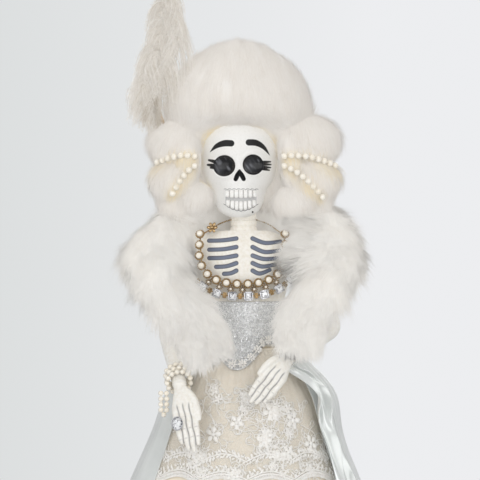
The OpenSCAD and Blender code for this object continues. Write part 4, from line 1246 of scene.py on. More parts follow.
# Stations of the stole: middle above the waist, half-width and half-thickness
STOLE = (
    ((-25, -57, -8), 19, 7), ((-34, -57, 7), 25, 10), ((-46, -54, 24), 25, 12), ((-60, -48, 42), 25, 13),
    ((-72, -37, 60), 24, 15), ((-75, -20, 78), 26, 15), ((-62, 2, 97), 22, 13), ((-42, 28, 107), 20, 11),
    ((0, 40, 105), 19, 10), ((42, 29, 109), 20, 11), ((66, 2, 99), 23, 13), ((74, -21, 80), 23, 15),
    ((71, -37, 61), 20, 14), ((57, -49, 42), 24, 12), ((48, -55, 24), 24, 11), ((41, -58, 9), 21, 9),
    ((40, -58, -1), 14, 6),
)
# Turn of the normals of hairs
FUR_LEAN, COLLAR_LEAN, COTTON_LEAN = (0.0, -0.75, 0.2), (0.0, -1.9, 0.5), (0.0, -1.15, 0.2)
# Hairs in a stole piece and in a collar piece, guide hairs of the stole, and most fibres in a cotton piece
STOLE_HAIRS, COLLAR_HAIRS, GUIDES, COTTON_FIBRES = 22000, 13000, 5200, 21000


def stole_grid():
    """Rings of the stole's hide, and the directions along it."""
    t = np.linspace(0, 1, 170)
    path = spline([s[0] for s in STOLE], t) + UP
    wide, thick = 0.82 * spline([s[1:] for s in STOLE], t).T
    ends = np.minimum(1, rounded_ends(t, 0.03) + 0.1)
    c = t * 2 - 1
    aim = vec(-np.sign(c) * np.sqrt(np.abs(c)), 0, -0.2 - 1.4 * bell(c, 0, 0.18))
    along = unit(np.gradient(path, axis=0))
    u = unit(square_to(aim, along))
    return oval_rings(path, u, np.cross(along, u), wide * ends, thick * ends, 64), along


def stole_hairs(base, along, count, seed):
    """Hairs that lie along the stole towards its ends and fall at their tips."""
    p, n, _, row = scatter(base, count)
    to_end = along[row.astype(int)] * np.where(row[:, None] < len(along) / 2, -1, 1)
    drift = noise3(p, 14.0, 8) * 0.5 + noise3(p, 5.0, 20 + seed) * 0.28
    inward = unit(vec(TORSO_X - p[:, 0], -p[:, 1], 0))
    above = p[:, 2] - WAIST
    high = np.where(n[:, 1] < -0.35, 72, 36)
    inner = np.clip((n * inward).sum(axis=-1), 0, 1) * ease((above - high) / 12)
    aim = n * 0.5 + to_end * 0.55 + vec(0, -0.05, -0.3) + drift + inward * (0.5 * inner)[:, None]
    left = p[:, 0] > 0
    forward = (left * inner * ease((above - 62) / 12))[:, None] * vec(-0.35, -0.55, -0.1)
    aim = unit(unit(aim) + forward)
    length = 15 + 4 * noise(p, 9.0, 9) + rng.normal(0, 2.4, count)
    length = length * (1 + np.where(left, 0.95, 0.6) * inner)
    t = row / (len(along) - 1)
    from_end = np.minimum(t, 1 - t)
    behind = ease((n[:, 1] + 0.1) / 0.4) * ease((0.3 - from_end) / 0.1)
    length = length * mix(0.52, 1.0, ease(from_end / 0.16)) * (1 - 0.65 * behind)
    sag = vec(0, 0, -0.30) + 0.22 * noise3(p, 4.0, 31 + seed)
    return strands(p, aim, length, sag), n


def collar_hairs(base, count, over):
    """Longer hairs of the inner edge: round the neck, or over the necklace on the figure's left."""
    x, y, z = np.moveaxis(base[:-1] - UP, -1, 0)
    if over:
        weight = bell(z, 92, 11) * bell(x, 56, 7) * (y < -16)
    else:
        inward = -np.sign(x - TORSO_X) * grid_normals(base, True)[:-1, :, 0]
        weight = bell(z, 108, 10) * bell(np.abs(x - TORSO_X), 42, 14) * np.clip(inward + 0.45, 0, 1)
        weight = weight * (y < 4) * (z > np.where(x < TORSO_X, 109, 98))
    p, n, _, _ = scatter(base, count, weight + 1e-7)
    to_neck = unit(vec(TORSO_X - p[:, 0], -p[:, 1] - 14, 3))
    aim = vec(-1.0, -0.38, 0.0) if over else to_neck + vec(0, -0.45, 0.3)
    aim = unit(aim + 0.28 * noise3(p, 7.0, 90) + rng.normal(0, 0.12, p.shape))
    length = rng.uniform(22, 38, count)
    sag = vec(0, 0, -0.22) + 0.18 * noise3(p, 4.0, 91)
    return strands(p, aim, length, sag), n


def make_stole():
    grid, along = stole_grid()
    lumps = noise(grid, 16.0, 4)
    base = grid + grid_normals(grid, True) * (1.6 * lumps)[..., None]
    # The hide's tone is painted shade, darker where its lumps sink in.
    attrs = {"tone": with_ends(0.2 - 0.2 * lumps, 0.3)}
    o = add_mesh("stole_hide", skin(base), FUR, "fur_stole", attrs=attrs)
    o.visible_shadow = False
    for over, name in enumerate(("stole_collar", "stole_overlap")):
        hairs, n = collar_hairs(base, COLLAR_HAIRS, over)
        tone = shades(hairs[:, 0], 0.12, 0.22, 0.13)
        width = rng.uniform(0.22, 0.48, COLLAR_HAIRS)
        hair_piece(name, hairs, n, width, FUR, tone, lean=COLLAR_LEAN)
    guides, _ = stole_hairs(base, along, GUIDES, 0)
    for k in range(5):
        hairs, n = stole_hairs(base, along, STOLE_HAIRS, k)
        root = hairs[:, :1]
        wisps = k == 4
        hairs = root + (hairs - root) * (1.35 if wisps else 1.0)
        hairs = clumped(hairs, guides, 0.2 if wisps else 0.42)
        tone = shades(root[:, 0], 0.14, 0.18, 0.1)
        width = rng.uniform(0.2, 0.45, STOLE_HAIRS) * (0.5 if wisps else 1.0)
        hair_piece("stole_hair_%d" % k, hairs, n, width, FUR, tone, lean=FUR_LEAN)


# Bodice: drop of its point, its first level row and its top above the waist, and its glitter flakes
BASQUE, EDGE_ROW, BODICE_TOP, FLAKES = 20.0, 9.0, TORSO_H * 0.39, 12000


def bodice_edge(a):
    """Slanting lower edge of the bodice at turns a from the front, with its point in front."""
    z = 2 - BASQUE * bell(np.degrees(a), -10, 26)
    share = np.clip((z + 2) / 4, 0, 1)
    r = petticoat_r(WAIST + np.minimum(z, 0), a) + 2.3
    w = mix(r, torso_w(2 / TORSO_H) + 0.25, share) + 1
    d = mix(r * GOWN_DEPTH, torso_d(2 / TORSO_H) + 0.25, share) + 1
    return vec(TORSO_X * share + w * np.sin(a), -d * np.cos(a), z + WAIST)


def bodice_oval(a, z):
    w, d = torso_w(z / TORSO_H) + 1.25, torso_d(z / TORSO_H) + 1.25
    return vec(TORSO_X + w * np.sin(a), -d * np.cos(a), z + WAIST)


def on_bodice(a, share):
    """Outer face between the edge and the first level row."""
    return mix(bodice_edge(a), bodice_oval(a, EDGE_ROW), np.asarray(share)[..., None])


def make_bodice():
    a = np.linspace(-math.pi, math.pi, 241)[:-1]
    low = [on_bodice(a, q) for q in np.linspace(0, 1, 24)[:-1]]
    high = [bodice_oval(a, z) for z in np.linspace(EDGE_ROW, BODICE_TOP, 46)]
    grid = np.array(low + high)
    wrinkle = 0.22 * noise(grid * vec(0.3, 0.3, 0.25), 1.0, 12)
    grid = grid + grid_normals(grid, True) * (wrinkle - 0.15)[..., None]
    o = add_mesh("bodice_cloth", cloth(grid, CLOTH, True), SPANGLE, "bodice")
    p, n, across, _ = scatter(grid, FLAKES)
    tilt = unit(n + rng.normal(0, 0.35, n.shape))
    x = unit(square_to(across, tilt))
    turns = vec(x, np.cross(tilt, x), tilt)
    disc = (circle(1, angles(6)), [np.arange(6)[None]])
    flakes = copies(disc, p + n * 0.2, rng.uniform(0.25, 0.5, FLAKES), turns)
    s = add_mesh("bodice_flakes", flakes, GLITTER, smooth=False)


def daisy():
    """Small lace daisy about one unit wide, facing +Z."""
    a = angles(8)
    petal = ball(10, 8)
    ring = copies(petal, circle(0.62, a), (0.34, 0.2, 0.13), rot("z", a))
    return joined([ring, copies(petal, [[0, 0, 0.1]], (0.26, 0.26, 0.2))])


DAISY_R, DAISY_GAP = 3.6, 1.05


def make_waist_lace():
    ring = np.linspace(-math.pi, math.pi, 121)
    run = run_along(on_bodice(ring, 0.4))
    count = int(run[-1] / (2 * DAISY_R + 0.25))
    a = np.interp(np.arange(count) / count * run[-1], run, ring)
    rise = on_bodice(a, 1) - on_bodice(a, 0)
    share = (DAISY_R + 0.25) / np.linalg.norm(rise, axis=-1)
    y = unit(rise)
    step = math.radians(3)
    z = unit(np.cross(on_bodice(a + step, share) - on_bodice(a - step, share), y))
    places = on_bodice(a, share) + z * (DAISY_GAP + 0.45)
    blooms = copies(daisy(), places, 4.2, vec(np.cross(y, z), y, z))
    closed = np.concatenate([places, places[:1]])
    thread = tube(spline(closed, np.linspace(0, 1, 12 * count)), 0.4, wide=(0, 0, 1))
    high = places + y * DAISY_R * 0.95
    after = np.roll(high, -1, axis=0)
    dots = copies(ball(8, 6), np.concatenate([mix(high, after, q) for q in (0, 0.34, 0.67)]), 0.75)
    add_mesh("waist_daisies", joined([blooms, dots, thread]), CORD, "waist_lace")


# Height above which the wig's fibres curl
WIG_CURLED = SKULL_Z + 108


def cotton_base(g, seed, glue):
    """Lumpy skin of a puff, with its tones, which are painted shade darker where the lumps sink in, and its
    shares of glue.
    """
    fine = g * vec(1, 1, 0.12)
    lumps = noise(g, 18.0, seed + 1) + 0.55 * noise(fine, 3.0, seed + 2)
    shape = skin(g + grid_normals(g, True) * lumps[..., None])
    # The base's tone is painted shade, darker where the lumps sink in.
    return shape, with_ends(np.clip(0.12 - 0.22 * lumps, 0, 0.6), 0.2), glue(shape[0])


def cotton_fibres(g, count, comb, lift, length, seed, curl):
    """Fibres that lie along the combing direction and follow the roundness of a puff, with its normals."""
    p, n, _, _ = scatter(g, count)
    aim = unit(square_to(comb(p), n)) + 0.22 * noise3(p, 9.0, seed + 3)
    aim = unit(aim + rng.normal(0, 0.10, p.shape) + n * lift)
    long = length * rng.uniform(0.6, 1.3, count)
    radius = np.ptp(g.reshape(-1, 3), axis=0).min() * 0.62
    fall = -n * (long**2 / (2 * radius))[:, None]
    wave = 0.9 * noise3(p, 2.0, seed + 4)
    knots = curl * noise3(p, 3.5, seed + 6) * ease((p[:, 2:] - WIG_CURLED) / 25)
    s = np.linspace(0, 1, 6)[None, :, None]
    line = aim[:, None] * long[:, None, None] * s + fall[:, None] * s**2
    line = line + wave[:, None] * np.sin(3 * s) + knots[:, None] * np.sin(8 * s)
    return p[:, None] + n[:, None] * 0.3 + line, n


def no_glue(p):
    return np.zeros(len(p))


def cotton_piece(name, grids, stands, count, comb, lift=0.10, length=17.0, seed=0, glue=no_glue, curl=0.0):
    """A puff of combed cotton: lumpy bases with fibres."""
    shapes, tones, glues = zip(*[cotton_base(g, seed, glue) for g in grids])
    attrs = {"tone": np.concatenate(tones), "glue": np.concatenate(glues)}
    o = add_mesh(name, joined(shapes), COTTON, stands, attrs=attrs)
    o.visible_shadow = False
    share = np.array([np.prod(np.ptp(g.reshape(-1, 3), axis=0)) ** (2 / 3) for g in grids])
    counts = (share / share.sum() * count).astype(int)
    fibres = [cotton_fibres(g, c, comb, lift, length, seed, curl) for g, c in zip(grids, counts)]
    hairs, facing = (np.concatenate(q) for q in zip(*fibres))
    roots = hairs[:, 0]
    tone = shades(roots, 0.10, 0.18, 0.10, 4.0, seed + 5)
    tint = glue(roots)
    for k in range(0, len(roots), COTTON_FIBRES):
        part = slice(k, k + COTTON_FIBRES)
        label = "%s_fibres_%d" % (name, k // COTTON_FIBRES)
        width = rng.uniform(0.25, 0.5, len(roots[part]))
        hair_piece(
            label, hairs[part], facing[part], width, COTTON, tone[part], 0.85, COTTON_LEAN, glue=tint[part]
        )


def pouf_grid(rows=100, n=130):
    """Dome of the wig, rounded under its widest place and lower beside the face."""
    a = np.radians(np.linspace(-66, 88, rows))[:, None]
    b = angles(n)
    w = 62 * np.cos(a)
    under = (8.4 + 13 * np.abs(np.cos(b)) ** 3) / math.sin(math.radians(40))
    z = SKULL_Z + 88 + np.sin(a) * np.where(a < 0, under, 60)
    return vec(HEAD_X + w * np.cos(b), 6 + 0.8 * w * np.sin(b), z)


# Hairline over the forehead, from the face's middle and the chin
HAIRLINE = np.array([
    (-33.5, 50), (-32.4, 59), (-28.7, 68.9), (-21.6, 75.8), (-10.6, 78.9), (0.9, 79.6), (12.4, 78.9),
    (23.2, 75.8), (30.1, 68.9), (33.6, 59), (34.4, 50)
], float)


def hairline(t):
    """Points of the hairline on the skull, with the way out from the face."""
    q = spline(HAIRLINE, t)
    along = unit(np.gradient(q, axis=0))
    out = vec(-along[:, 1], 0, along[:, 0])
    return vec(q[:, 0] + HEAD_X, face_y(q[:, 0] * 0.98, q[:, 1]), q[:, 1] + SKULL_Z), out


def hairline_grid():
    """Roll of cotton along the hairline."""
    t = np.linspace(0, 1, 90)
    r = 6.0 * np.maximum(0.1, rounded_ends(t, 0.06))
    p, out = hairline(t)
    p = p + out * 6.0 + vec(0, -1.0, 0)
    along = unit(np.gradient(p, axis=0))
    u = unit(square_to(out, along))
    return oval_rings(p, u, np.cross(along, u), r, r, 40)


def lobe_grid(mid, size, rows=50, n=72):
    h = np.linspace(-1, 1, rows) * math.pi / 2 * 0.97
    a = angles(n)
    x = mid[0] + size[0] * np.cos(h)[:, None] * np.cos(a)
    y = mid[1] + size[1] * np.cos(h)[:, None] * np.sin(a)
    return vec(x, y, (mid[2] + WAIST + size[2] * np.sin(h))[:, None])


PEARL_ROWS = {
    "right_pearls_upper": ((-43, -27, 160), (-58, -31, 163), (-79, -11, 154)),
    "right_pearls_lower": ((-43, -27, 152), (-54, -28, 146), (-64, -22, 124)),
    "left_pearls_upper": ((32, -27, 160), (53, -33, 163), (77, -11, 152)),
    "left_pearls_lower": ((32, -27, 152), (49, -29, 146), (66, -22, 124)),
}
# Middle above the waist and half-sizes of each roll of curls, and of the puffs behind
CURLS = {
    "right": (
        ((-60, 0, 172), (23, 26, 20)), ((-61, -2, 141), (21, 23, 18)), ((-41, -8, 126), (14, 16, 13)),
        ((-49.5, -12, 158), (11, 15, 26)), ((-53, 4, 126), (22, 17, 22)),
    ),
    "left": (
        ((53, 0, 174), (27, 27, 22)), ((56, -2, 141), (24, 23, 20)), ((41, -8, 122), (18, 16, 15)),
        ((38.5, -12, 158), (11, 15, 26)), ((49, 4, 124), (24, 17, 22)),
    ),
    "back": (
        ((HEAD_X, 30, 169), (44, 26, 40)), ((-33, 18, 138), (19, 15, 24)), ((21, 18, 138), (19, 15, 24)),
    ),
}


def pearl_bow(ends, t):
    a, b, c = np.array(ends, float)
    return bow(a, b, c, t[:, None]) + UP


def strung(ends, pitch):
    t = np.linspace(0, 1, 200)
    run = run_along(pearl_bow(ends, t))
    return pearl_bow(ends, np.interp(np.arange(int(run[-1] / pitch) + 1) * pitch, run, t))


def nearest(p, line):
    """Distance from each point to the nearest point of a line."""
    return np.linalg.norm(p[:, None] - line[None], axis=-1).min(axis=1)


def glue_stain(p):
    """Yellowed glue beside the face and under the strings of pearls."""
    share = np.zeros(len(p))
    for ends in PEARL_ROWS.values():
        near = nearest(p, pearl_bow(ends, np.linspace(0, 1, 24)))
        share = np.maximum(share, 0.65 * bell(near, 0, 6.0))
    near = nearest(p, np.concatenate([hairline(np.linspace(0, 1, 40))[0], face_sides()]))
    sides = ease((np.abs(p[:, 0] - HEAD_X) - 12) / 14)
    share = np.maximum(share, sides * bell(near, 0, 4.2))
    return np.clip(share * (0.75 + 0.35 * noise(p, 4.0, 50)), 0, 1)


def face_sides():
    """Points down both sides of the face, where the curls are glued on."""
    v = np.linspace(28, 50, 10)
    half = np.array([-1.0, 1.0])[:, None] * skull_half(v / SKULL_H) * 0.97
    p = vec(half + HEAD_X, face_y(half, v), v + SKULL_Z)
    return p.reshape(-1, 3)


def swept(p):
    """Combed upwards and a little inwards."""
    return vec((p[:, 0] - HEAD_X) * -0.010, 0.1, 1)


def falling(p):
    """Combed downwards and a little outwards."""
    return vec(0.25 * np.sign(p[:, 0] - HEAD_X), 0, -1)


def make_wig():
    lobes = {side: [lobe_grid(*lobe) for lobe in CURLS[side]] for side in CURLS}
    pouf = [pouf_grid(), hairline_grid()]
    cotton_piece("pouf_cotton", pouf, "wig_pouf", 42000, swept, seed=1, glue=glue_stain, curl=2.2)
    cotton_piece("back_cotton", lobes["back"], "wig_back", 18000, falling, seed=7)
    for side in ("right", "left"):
        name, stands = side + "_curl_cotton", side + "_curls"
        cotton_piece(name, lobes[side], stands, 21000, falling, 0.24, 15.0, 13, glue_stain)


def make_wig_pearls():
    pearl = ball(22, 14)
    for name, ends in PEARL_ROWS.items():
        places = strung(ends, 5.6 * 1.08)
        shape = joined([copies(pearl, places, 2.8), tube(places, 0.5)])
        add_mesh(name + "_beads", shape, PEARL, name)


# Ends of the plume's quill above the waist, number of barbs and of fluff hairs on each
BARBS, FLUFF = 2000, 20
QUILL_FOOT, QUILL_END = vec(-63.0, -6, 166), vec(-80.0, -16, 222)


def vane_line(t):
    """Places along the rib of the plume."""
    x = -75 - 9 * np.sin(math.pi * np.minimum(1, t * 1.7)) * (1 - t) + 12 * t**2 + 8 * bell(t, 0.5, 0.22)
    y = -12 - 9 * ease(t * 5) - 4 * t**2
    return vec(x, y, 195 + 118 * t) + UP


def make_quill():
    axis = unit(QUILL_END - QUILL_FOOT)
    foot = np.linspace(0, 1, 20)[:, None]
    shaft = mix(QUILL_FOOT, QUILL_END - axis * 20, foot) + UP
    shape = tube(shaft, 1.3 - 0.1 * foot[:, 0], n=14)
    add_mesh("plume_shaft", shape, QUILL, "plume_quill", "plume")
    t = np.linspace(0, 1, 60)
    shape = tube(vane_line(t), mix(0.9, 0.3, t), n=10)
    tone = np.full(len(shape[0]), 0.2)
    add_mesh("plume_rib", shape, FEATHER, "plume_vane", "plume", attrs={"tone": tone})


def barb_lines(at, side):
    """Barbs (k, 12, 3) that leave the rib at given places to one side or the other, and droop."""
    root = vane_line(at)
    half = 24 * (0.16 + 0.84 * np.sin(math.pi * at**0.85).clip(0) ** 0.8)
    s = np.linspace(0, 1, 12)
    out = vec(side * rng.uniform(0.7, 1.1, BARBS), rng.normal(-0.05, 0.36, BARBS), 0)
    reach = half * rng.uniform(0.6, 1.1, BARBS)
    reach = reach * (1 - 0.5 * ease((0.55 - at) / 0.3) * (side > 0))
    fall = rng.uniform(16, 40, BARBS) * np.where(side > 0, 1.25, 0.9)
    fall = fall * (0.45 + 0.55 * np.sin(math.pi * at.clip(0.1, 1)))
    swell = np.sin(s * math.pi / 2)[None, :, None]
    barbs = root[:, None] + out[:, None] * reach[:, None, None] * swell
    barbs[..., 2] += (5 * np.sin(math.pi * s))[None, :] - fall[:, None] * s[None] ** 1.7
    barbs += noise3(root, 12.0, 60)[:, None] * 3.0 * s[None, :, None] ** 2
    return clumped(barbs, barbs[:170], 0.62)


def fluff_lines(barbs):
    """Short hairs strewn along the barbs."""
    steps = barbs.shape[1]
    place = rng.uniform(0.05, 0.98, (BARBS, FLUFF)) * (steps - 1)
    i = np.minimum(place.astype(int), steps - 2)
    f = (place - i)[..., None]
    k = np.arange(BARBS)[:, None]
    p = mix(barbs[k, i], barbs[k, i + 1], f).reshape(-1, 3)
    ahead = unit(barbs[k, i + 1] - barbs[k, i]).reshape(-1, 3)
    aim = unit(ahead * 0.7 + rng.normal(0, 0.6, ahead.shape))
    long = rng.uniform(2.0, 4.5, len(p))
    q = np.linspace(0, 1, 3)[None, :, None]
    return p[:, None] + aim[:, None] * long[:, None, None] * q + vec(0, 0, -0.8) * q**2


def make_vane():
    at = rng.uniform(0.02, 1, BARBS)
    side = np.where(rng.random(BARBS) < 0.55, -1.0, 1.0)
    barbs = barb_lines(at, side)
    facing = unit(vec(0.25 * side, -1, 0.2) + rng.normal(0, 0.25, (BARBS, 3)))
    # Painted shade: the low barbs on the side towards the wig are darker.
    painted_shade_low = 0.5 * ease((0.45 - at) / 0.35) * (side > 0)
    tone = np.clip(rng.normal(0.26, 0.2, BARBS) + painted_shade_low, 0, 1)
    width = rng.uniform(0.4, 0.7, BARBS)
    hair_piece("plume_barbs", barbs, facing, width, FEATHER, tone, 0.8, body="plume")
    fluff = fluff_lines(barbs)
    owner = np.repeat(np.arange(BARBS), FLUFF)
    width = rng.uniform(0.16, 0.3, len(owner))
    hair_piece("plume_fluff", fluff, facing[owner], width, FEATHER, tone[owner] * 0.8, 0.8, body="plume")


# Necklace: two rows on a bow over the chest

NECK_MID = np.array([-3.0, TORSO_H * 0.83])
PEARL_D, PEARLS, STONE, STONES, WIRE_R, SEED_D = 5.4, 16, 6.0, 8, 0.7, 2.4
CUP_R, SETTING = PEARL_D / 2 + 1.3, STONE + 1.2
INNER = np.array([34.0, 28.0])
OUTER = INNER + np.array([2.2, 2.8]) + CUP_R + SETTING / 2
CHEST_LIFT = 1.4 + 1 + WIRE_R
SEAT = WIRE_R + 0.125
HANG_W = 48.0
BOW_TURN, LEG_H = 118.0, 12.0
ROW_FROM, ROW_TO = 0.29, 0.85


def bow_point(half, s):
    """Point of a row seen from the front: round below, straight beside the neck."""
    t = mix(-BOW_TURN, BOW_TURN, np.asarray(s, float))
    over = np.maximum(0, np.abs(t) - 90)
    a = np.radians(np.abs(t) - over)
    x = NECK_MID[0] + half[0] * np.sign(t) * np.sin(a) ** 0.8
    z = NECK_MID[1] - half[1] * np.maximum(0, np.cos(a)) ** 0.8 + LEG_H * over / (BOW_TURN - 90)
    return x, z


def chest_spot(half, u):
    """Places along a row at equal shares u of its length, and the way they face."""
    s = np.linspace(0, 1, 81)
    x, z = bow_point(half, s)
    run = run_along(vec(x, z))
    x, z = bow_point(half, np.interp(np.asarray(u) * run[-1], run, s))
    d = torso_d(z / TORSO_H)
    turn = np.arctan(d * (x - TORSO_X) / HANG_W**2)
    face = vec(np.sin(turn), -np.cos(turn), 0)
    y = -d * (1 - ((x - TORSO_X) / HANG_W) ** 2 / 2)
    return vec(x, y, z + WAIST) + face * CHEST_LIFT, face


def row_frames(half, u):
    u = np.asarray(u, float)
    p, face = chest_spot(half, u)
    ahead, _ = chest_spot(half, np.minimum(1, u + 0.02))
    behind, _ = chest_spot(half, np.maximum(0, u - 0.02))
    x = unit(ahead - behind)
    z = unit(square_to(face, x))
    return p + z * SEAT, vec(x, np.cross(z, x), z)


def in_rows(shape, places, frames, offset=(0, 0, 0), scale=1.0):
    """Copies of a shape in the frames of a row, shifted in each frame."""
    return copies(shape, places + frames @ np.asarray(offset, float), scale, frames)


def grains(r, z, count, size, turn=0.0):
    """A ring of small beads."""
    return copies(ball(8, 6), circle(r, angles(count) + turn, z), size)


def make_pearl_row():
    p, m = row_frames(INNER, np.linspace(0, 1, PEARLS))
    shape = in_rows(ball(26, 18), p, m, (0, 0, 0.5 + PEARL_D / 2), PEARL_D / 2)
    add_mesh("necklace_pearl_row", shape, PEARL, "necklace_pearls", "necklace")
    cup = turned([(0.2, 0), (2.3, 0), (2.7, 0.8), (3.2, 1.9), (2.6, 2.2)], (0, 0), 24)
    bezel = joined([cup, grains(3.4, 2.9, 14, 0.72), grains(3.2, 1.5, 14, 0.7, 0.22)])
    add_mesh("necklace_bezels", in_rows(bezel, p, m), GOLD, "necklace_cups", "necklace")
    u = (np.arange(PEARLS - 1) + 0.5) / (PEARLS - 1)
    u = u[(u > ROW_FROM) & (u < ROW_TO)]
    a, face = chest_spot(INNER, u)
    b, _ = chest_spot(OUTER, u)
    places = mix(a, b, 0.46) + face * (WIRE_R * 0.7 + 0.06 + SEED_D / 2)
    seeds = copies(ball(16, 12), places, SEED_D / 2)
    add_mesh("necklace_seed_pearls", seeds, PEARL, "necklace_seeds", "necklace")
    links = [tube(mix(q, r, np.linspace(0.1, 0.9, 8)[:, None]), 0.45) for q, r in zip(b, a)]
    x = unit(np.cross(face, b - a))
    y = np.cross(x, face)
    frames = vec(x, y, face)
    rosette = joined([grains(1.75, 0.2, 8, 0.62), grains(2.75, -0.1, 10, 0.5, 0.3)])
    lace = in_rows(rosette, mix(a, b, 0.46) + face * 0.55, frames)
    add_mesh("necklace_link_wires", joined([*links, lace]), GOLD, "necklace_links", "necklace")


def make_stone_row():
    p, m = row_frames(OUTER, mix(ROW_FROM, ROW_TO, np.arange(STONES) / (STONES - 1)))
    block = ball(16, 10, 0.25)
    h = SETTING / 2
    bars = [copies(block, [[0, 0, 0.35]], (h - 0.1, h - 0.1, 0.3))]
    for k in range(4):
        turn = rot("z", k * math.pi / 2)
        bars.append(copies(block, [turn @ vec(0, h - 0.3, 1.2)], (h, 0.36, 1.2), turn))
        bars.append(copies(ball(8, 6), [turn @ vec(h - 0.6, h - 0.6, 2.6)], 0.62))
    claws = in_rows(joined(bars), p, m)
    add_mesh("necklace_claws", claws, SILVER, "necklace_settings", "necklace")
    h, c = STONE / 2, STONE / 2 - 1.0
    square = np.array([(h, -c), (h, c), (c, h), (-c, h), (-h, c), (-h, -c), (-c, -h), (c, -h)])
    # Each facet gets a painted reflection, light or dark.
    v, f, tone = gem_reflections(in_rows(cut_stone(square, 1.3), p, m, (0, 0, 2.0)), 8)
    attrs = {"tone": tone}
    add_mesh("necklace_crystals", (v, f), CRYSTAL, "necklace_stones", "necklace", smooth=False, attrs=attrs)
    p, m = row_frames(OUTER, mix(ROW_FROM, ROW_TO, (np.arange(STONES + 1) - 0.5) / (STONES - 1)))
    h = np.linspace(-2.4, 2.4, 13)
    flute = turned(vec(0.5 + 0.14 * np.cos(h * 7.5), h), (0, 0), 14)
    lie = rot("x", -math.pi / 2)
    rods = [moved(flute, lie, vec(x, 0, 0.6)) for x in (-1.06, 0, 1.06)]
    plate = copies(block, [[0, 0, 0.2]], (1.6, 2.3, 0.2))
    flutes = in_rows(joined([*rods, plate]), p, m)
    add_mesh("necklace_flutes", flutes, GOLD, "necklace_spacers", "necklace")


def make_necklace_ends():
    inner, _ = chest_spot(INNER, np.linspace(0, 1, PEARLS))
    outer, _ = chest_spot(OUTER, mix(ROW_FROM, ROW_TO, np.linspace(-0.5, STONES - 0.5, 60) / (STONES - 1)))
    nape = np.array([(26, -7, 2), (21, 5, 5.5), (12, 14, 9), (1.5, 17, 11)])
    middle = vec(TORSO_X, 0, TORSO_H) + UP
    left, right = middle + nape, middle + nape * vec(-1, 1, 1)
    run = spline(np.concatenate([right[::-1], inner, left]), np.linspace(0, 1, 220))
    rows = joined([tube(run, 0.6), tube(outer, 0.6)])
    add_mesh("necklace_wire_rows", rows, GOLD, "necklace_wires", "necklace")
    mid = right[0] + vec(-0.6, -5, 0.6)
    turn = rot("z", math.radians(-20)) @ rot("x", math.radians(80))
    a = angles(6)
    petals = copies(ball(14, 10), circle(3, a), (1.9, 1.4, 0.6), rot("z", a))
    flower = joined([petals, copies(ball(14, 10), [[0, 0, 0.4]], 1.6)])
    stem = tube(mix(mid, right[0], np.linspace(0, 0.85, 6)[:, None]), 0.45)
    blossom = joined([moved(flower, turn, mid), stem])
    add_mesh("necklace_blossom", blossom, GOLD, "necklace_flower", "necklace")
    h = np.linspace(-3.5, 3.5, 24)
    r = 1.4 - 0.5 * (np.abs(h) / 3.5) ** 4 + 0.06 * np.cos(h * 9)
    barrel = moved(turned(vec(r, h), (0, 0), 20), rot("y", math.pi / 2), middle + vec(0, 19.1, 11))
    add_mesh("necklace_catch", barrel, GOLD, "necklace_clasp", "necklace")


def dress_stand():
    """Board, screw, dowel, paper form and wires keep their solids and get their finish."""
    finish = {
        "base_board": WOOD, "central_dowel": WOOD, "base_screw": STEEL, "skirt_form": PAPER,
        "right_arm_wire": STEEL, "left_arm_wire": STEEL,
    }
    for name, mat in finish.items():
        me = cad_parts[name].data
        me.materials.clear()
        me.materials.append(mat)


make_petticoat()
net, net_grid = make_net()
make_lace()
make_overskirt()
make_sash()
make_torso()
make_neck()
make_skull()
make_teeth()
for arm in ARMS:
    make_arm(arm)
    make_hand(arm)
make_ring()
make_bracelet()
make_bodice()
make_waist_lace()
make_wig()
make_wig_pearls()
make_stole()
make_quill()
make_vane()
make_pearl_row()
make_stone_row()
make_necklace_ends()
dress_stand()

# Camera, light and floor

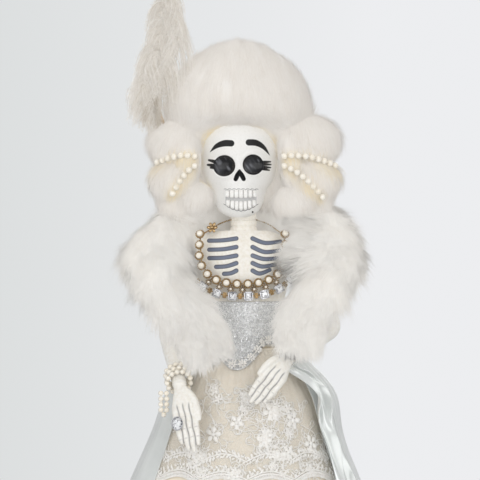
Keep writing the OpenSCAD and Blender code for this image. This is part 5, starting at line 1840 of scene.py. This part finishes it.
scene = bpy.context.scene
scene.view_settings.view_transform = "Standard"
camera = bpy.data.objects.new("camera", bpy.data.cameras.new("camera"))
scene.collection.objects.link(camera)
scene.camera = camera
camera.data.lens = 158.8
camera.data.sensor_width = 36.0
camera.location = (-0.0051, -1.8, 0.396)
camera.rotation_euler = (math.pi / 2, 0, 0)
world = bpy.data.worlds.new("studio")
scene.world = world
world.use_nodes = True
GROUND = (0.845, 0.853, 0.87)
GROUND_SHADE = (0.70, 0.72, 0.72)
FILL = (0.48, 0.483, 0.488)
FIGURE_MIDDLE = Vector((0, 0, 0.4))
FLOOR_R, FLOOR_SIDES = 1.5, 96


def dress_world():
    """Even fill light; what looks straight at the ground behind the figure sees its pale colour."""
    c = node(world, "ShaderNodeTexCoord")
    split = node(world, "ShaderNodeSeparateXYZ")
    wire(world, c.outputs["Generated"], split.inputs["Vector"])
    side = map_range(world, split.outputs["X"], -0.14, 0.06)
    ground = mixed(world, side, GROUND_SHADE, GROUND)
    rays = node(world, "ShaderNodeLightPath")
    seen = mixed(world, rays.outputs["Is Camera Ray"], FILL, ground)
    sky = world.node_tree.nodes["Background"]
    wire(world, seen, sky.inputs["Color"])
    sky.inputs["Strength"].default_value = 1.0


def soft_lamp(name, place, size, power):
    """A square lamp that looks at the middle of the figure."""
    lamp = bpy.data.lights.new(name, "AREA")
    lamp.size = size
    lamp.energy = power
    o = bpy.data.objects.new(name, lamp)
    scene.collection.objects.link(o)
    o.location = place
    o.rotation_euler = (FIGURE_MIDDLE - Vector(place)).to_track_quat("-Z", "Y").to_euler()


dress_world()
soft_lamp("key", (0.8, -1.9, 0.9), 2.0, 20.5)
soft_lamp("fill", (-1.3, -1.5, 0.5), 1.8, 14)
soft_lamp("top", (-0.3, 0.2, 1.8), 1.0, 3.5)
soft_lamp("rear", (0.5, 1.8, 1.1), 1.4, 13)

FLOOR = material("floor", (0.72, 0.72, 0.72), 0.8)
speckle(FLOOR, 4, (0.70, 0.70, 0.71), (0.74, 0.74, 0.74))
disc = bpy.data.meshes.new("floor")
disc.from_pydata(circle(FLOOR_R, angles(FLOOR_SIDES)).tolist(), [], [list(range(FLOOR_SIDES))])
disc.materials.append(FLOOR)
floor = bpy.data.objects.new("floor", disc)
scene.collection.objects.link(floor)
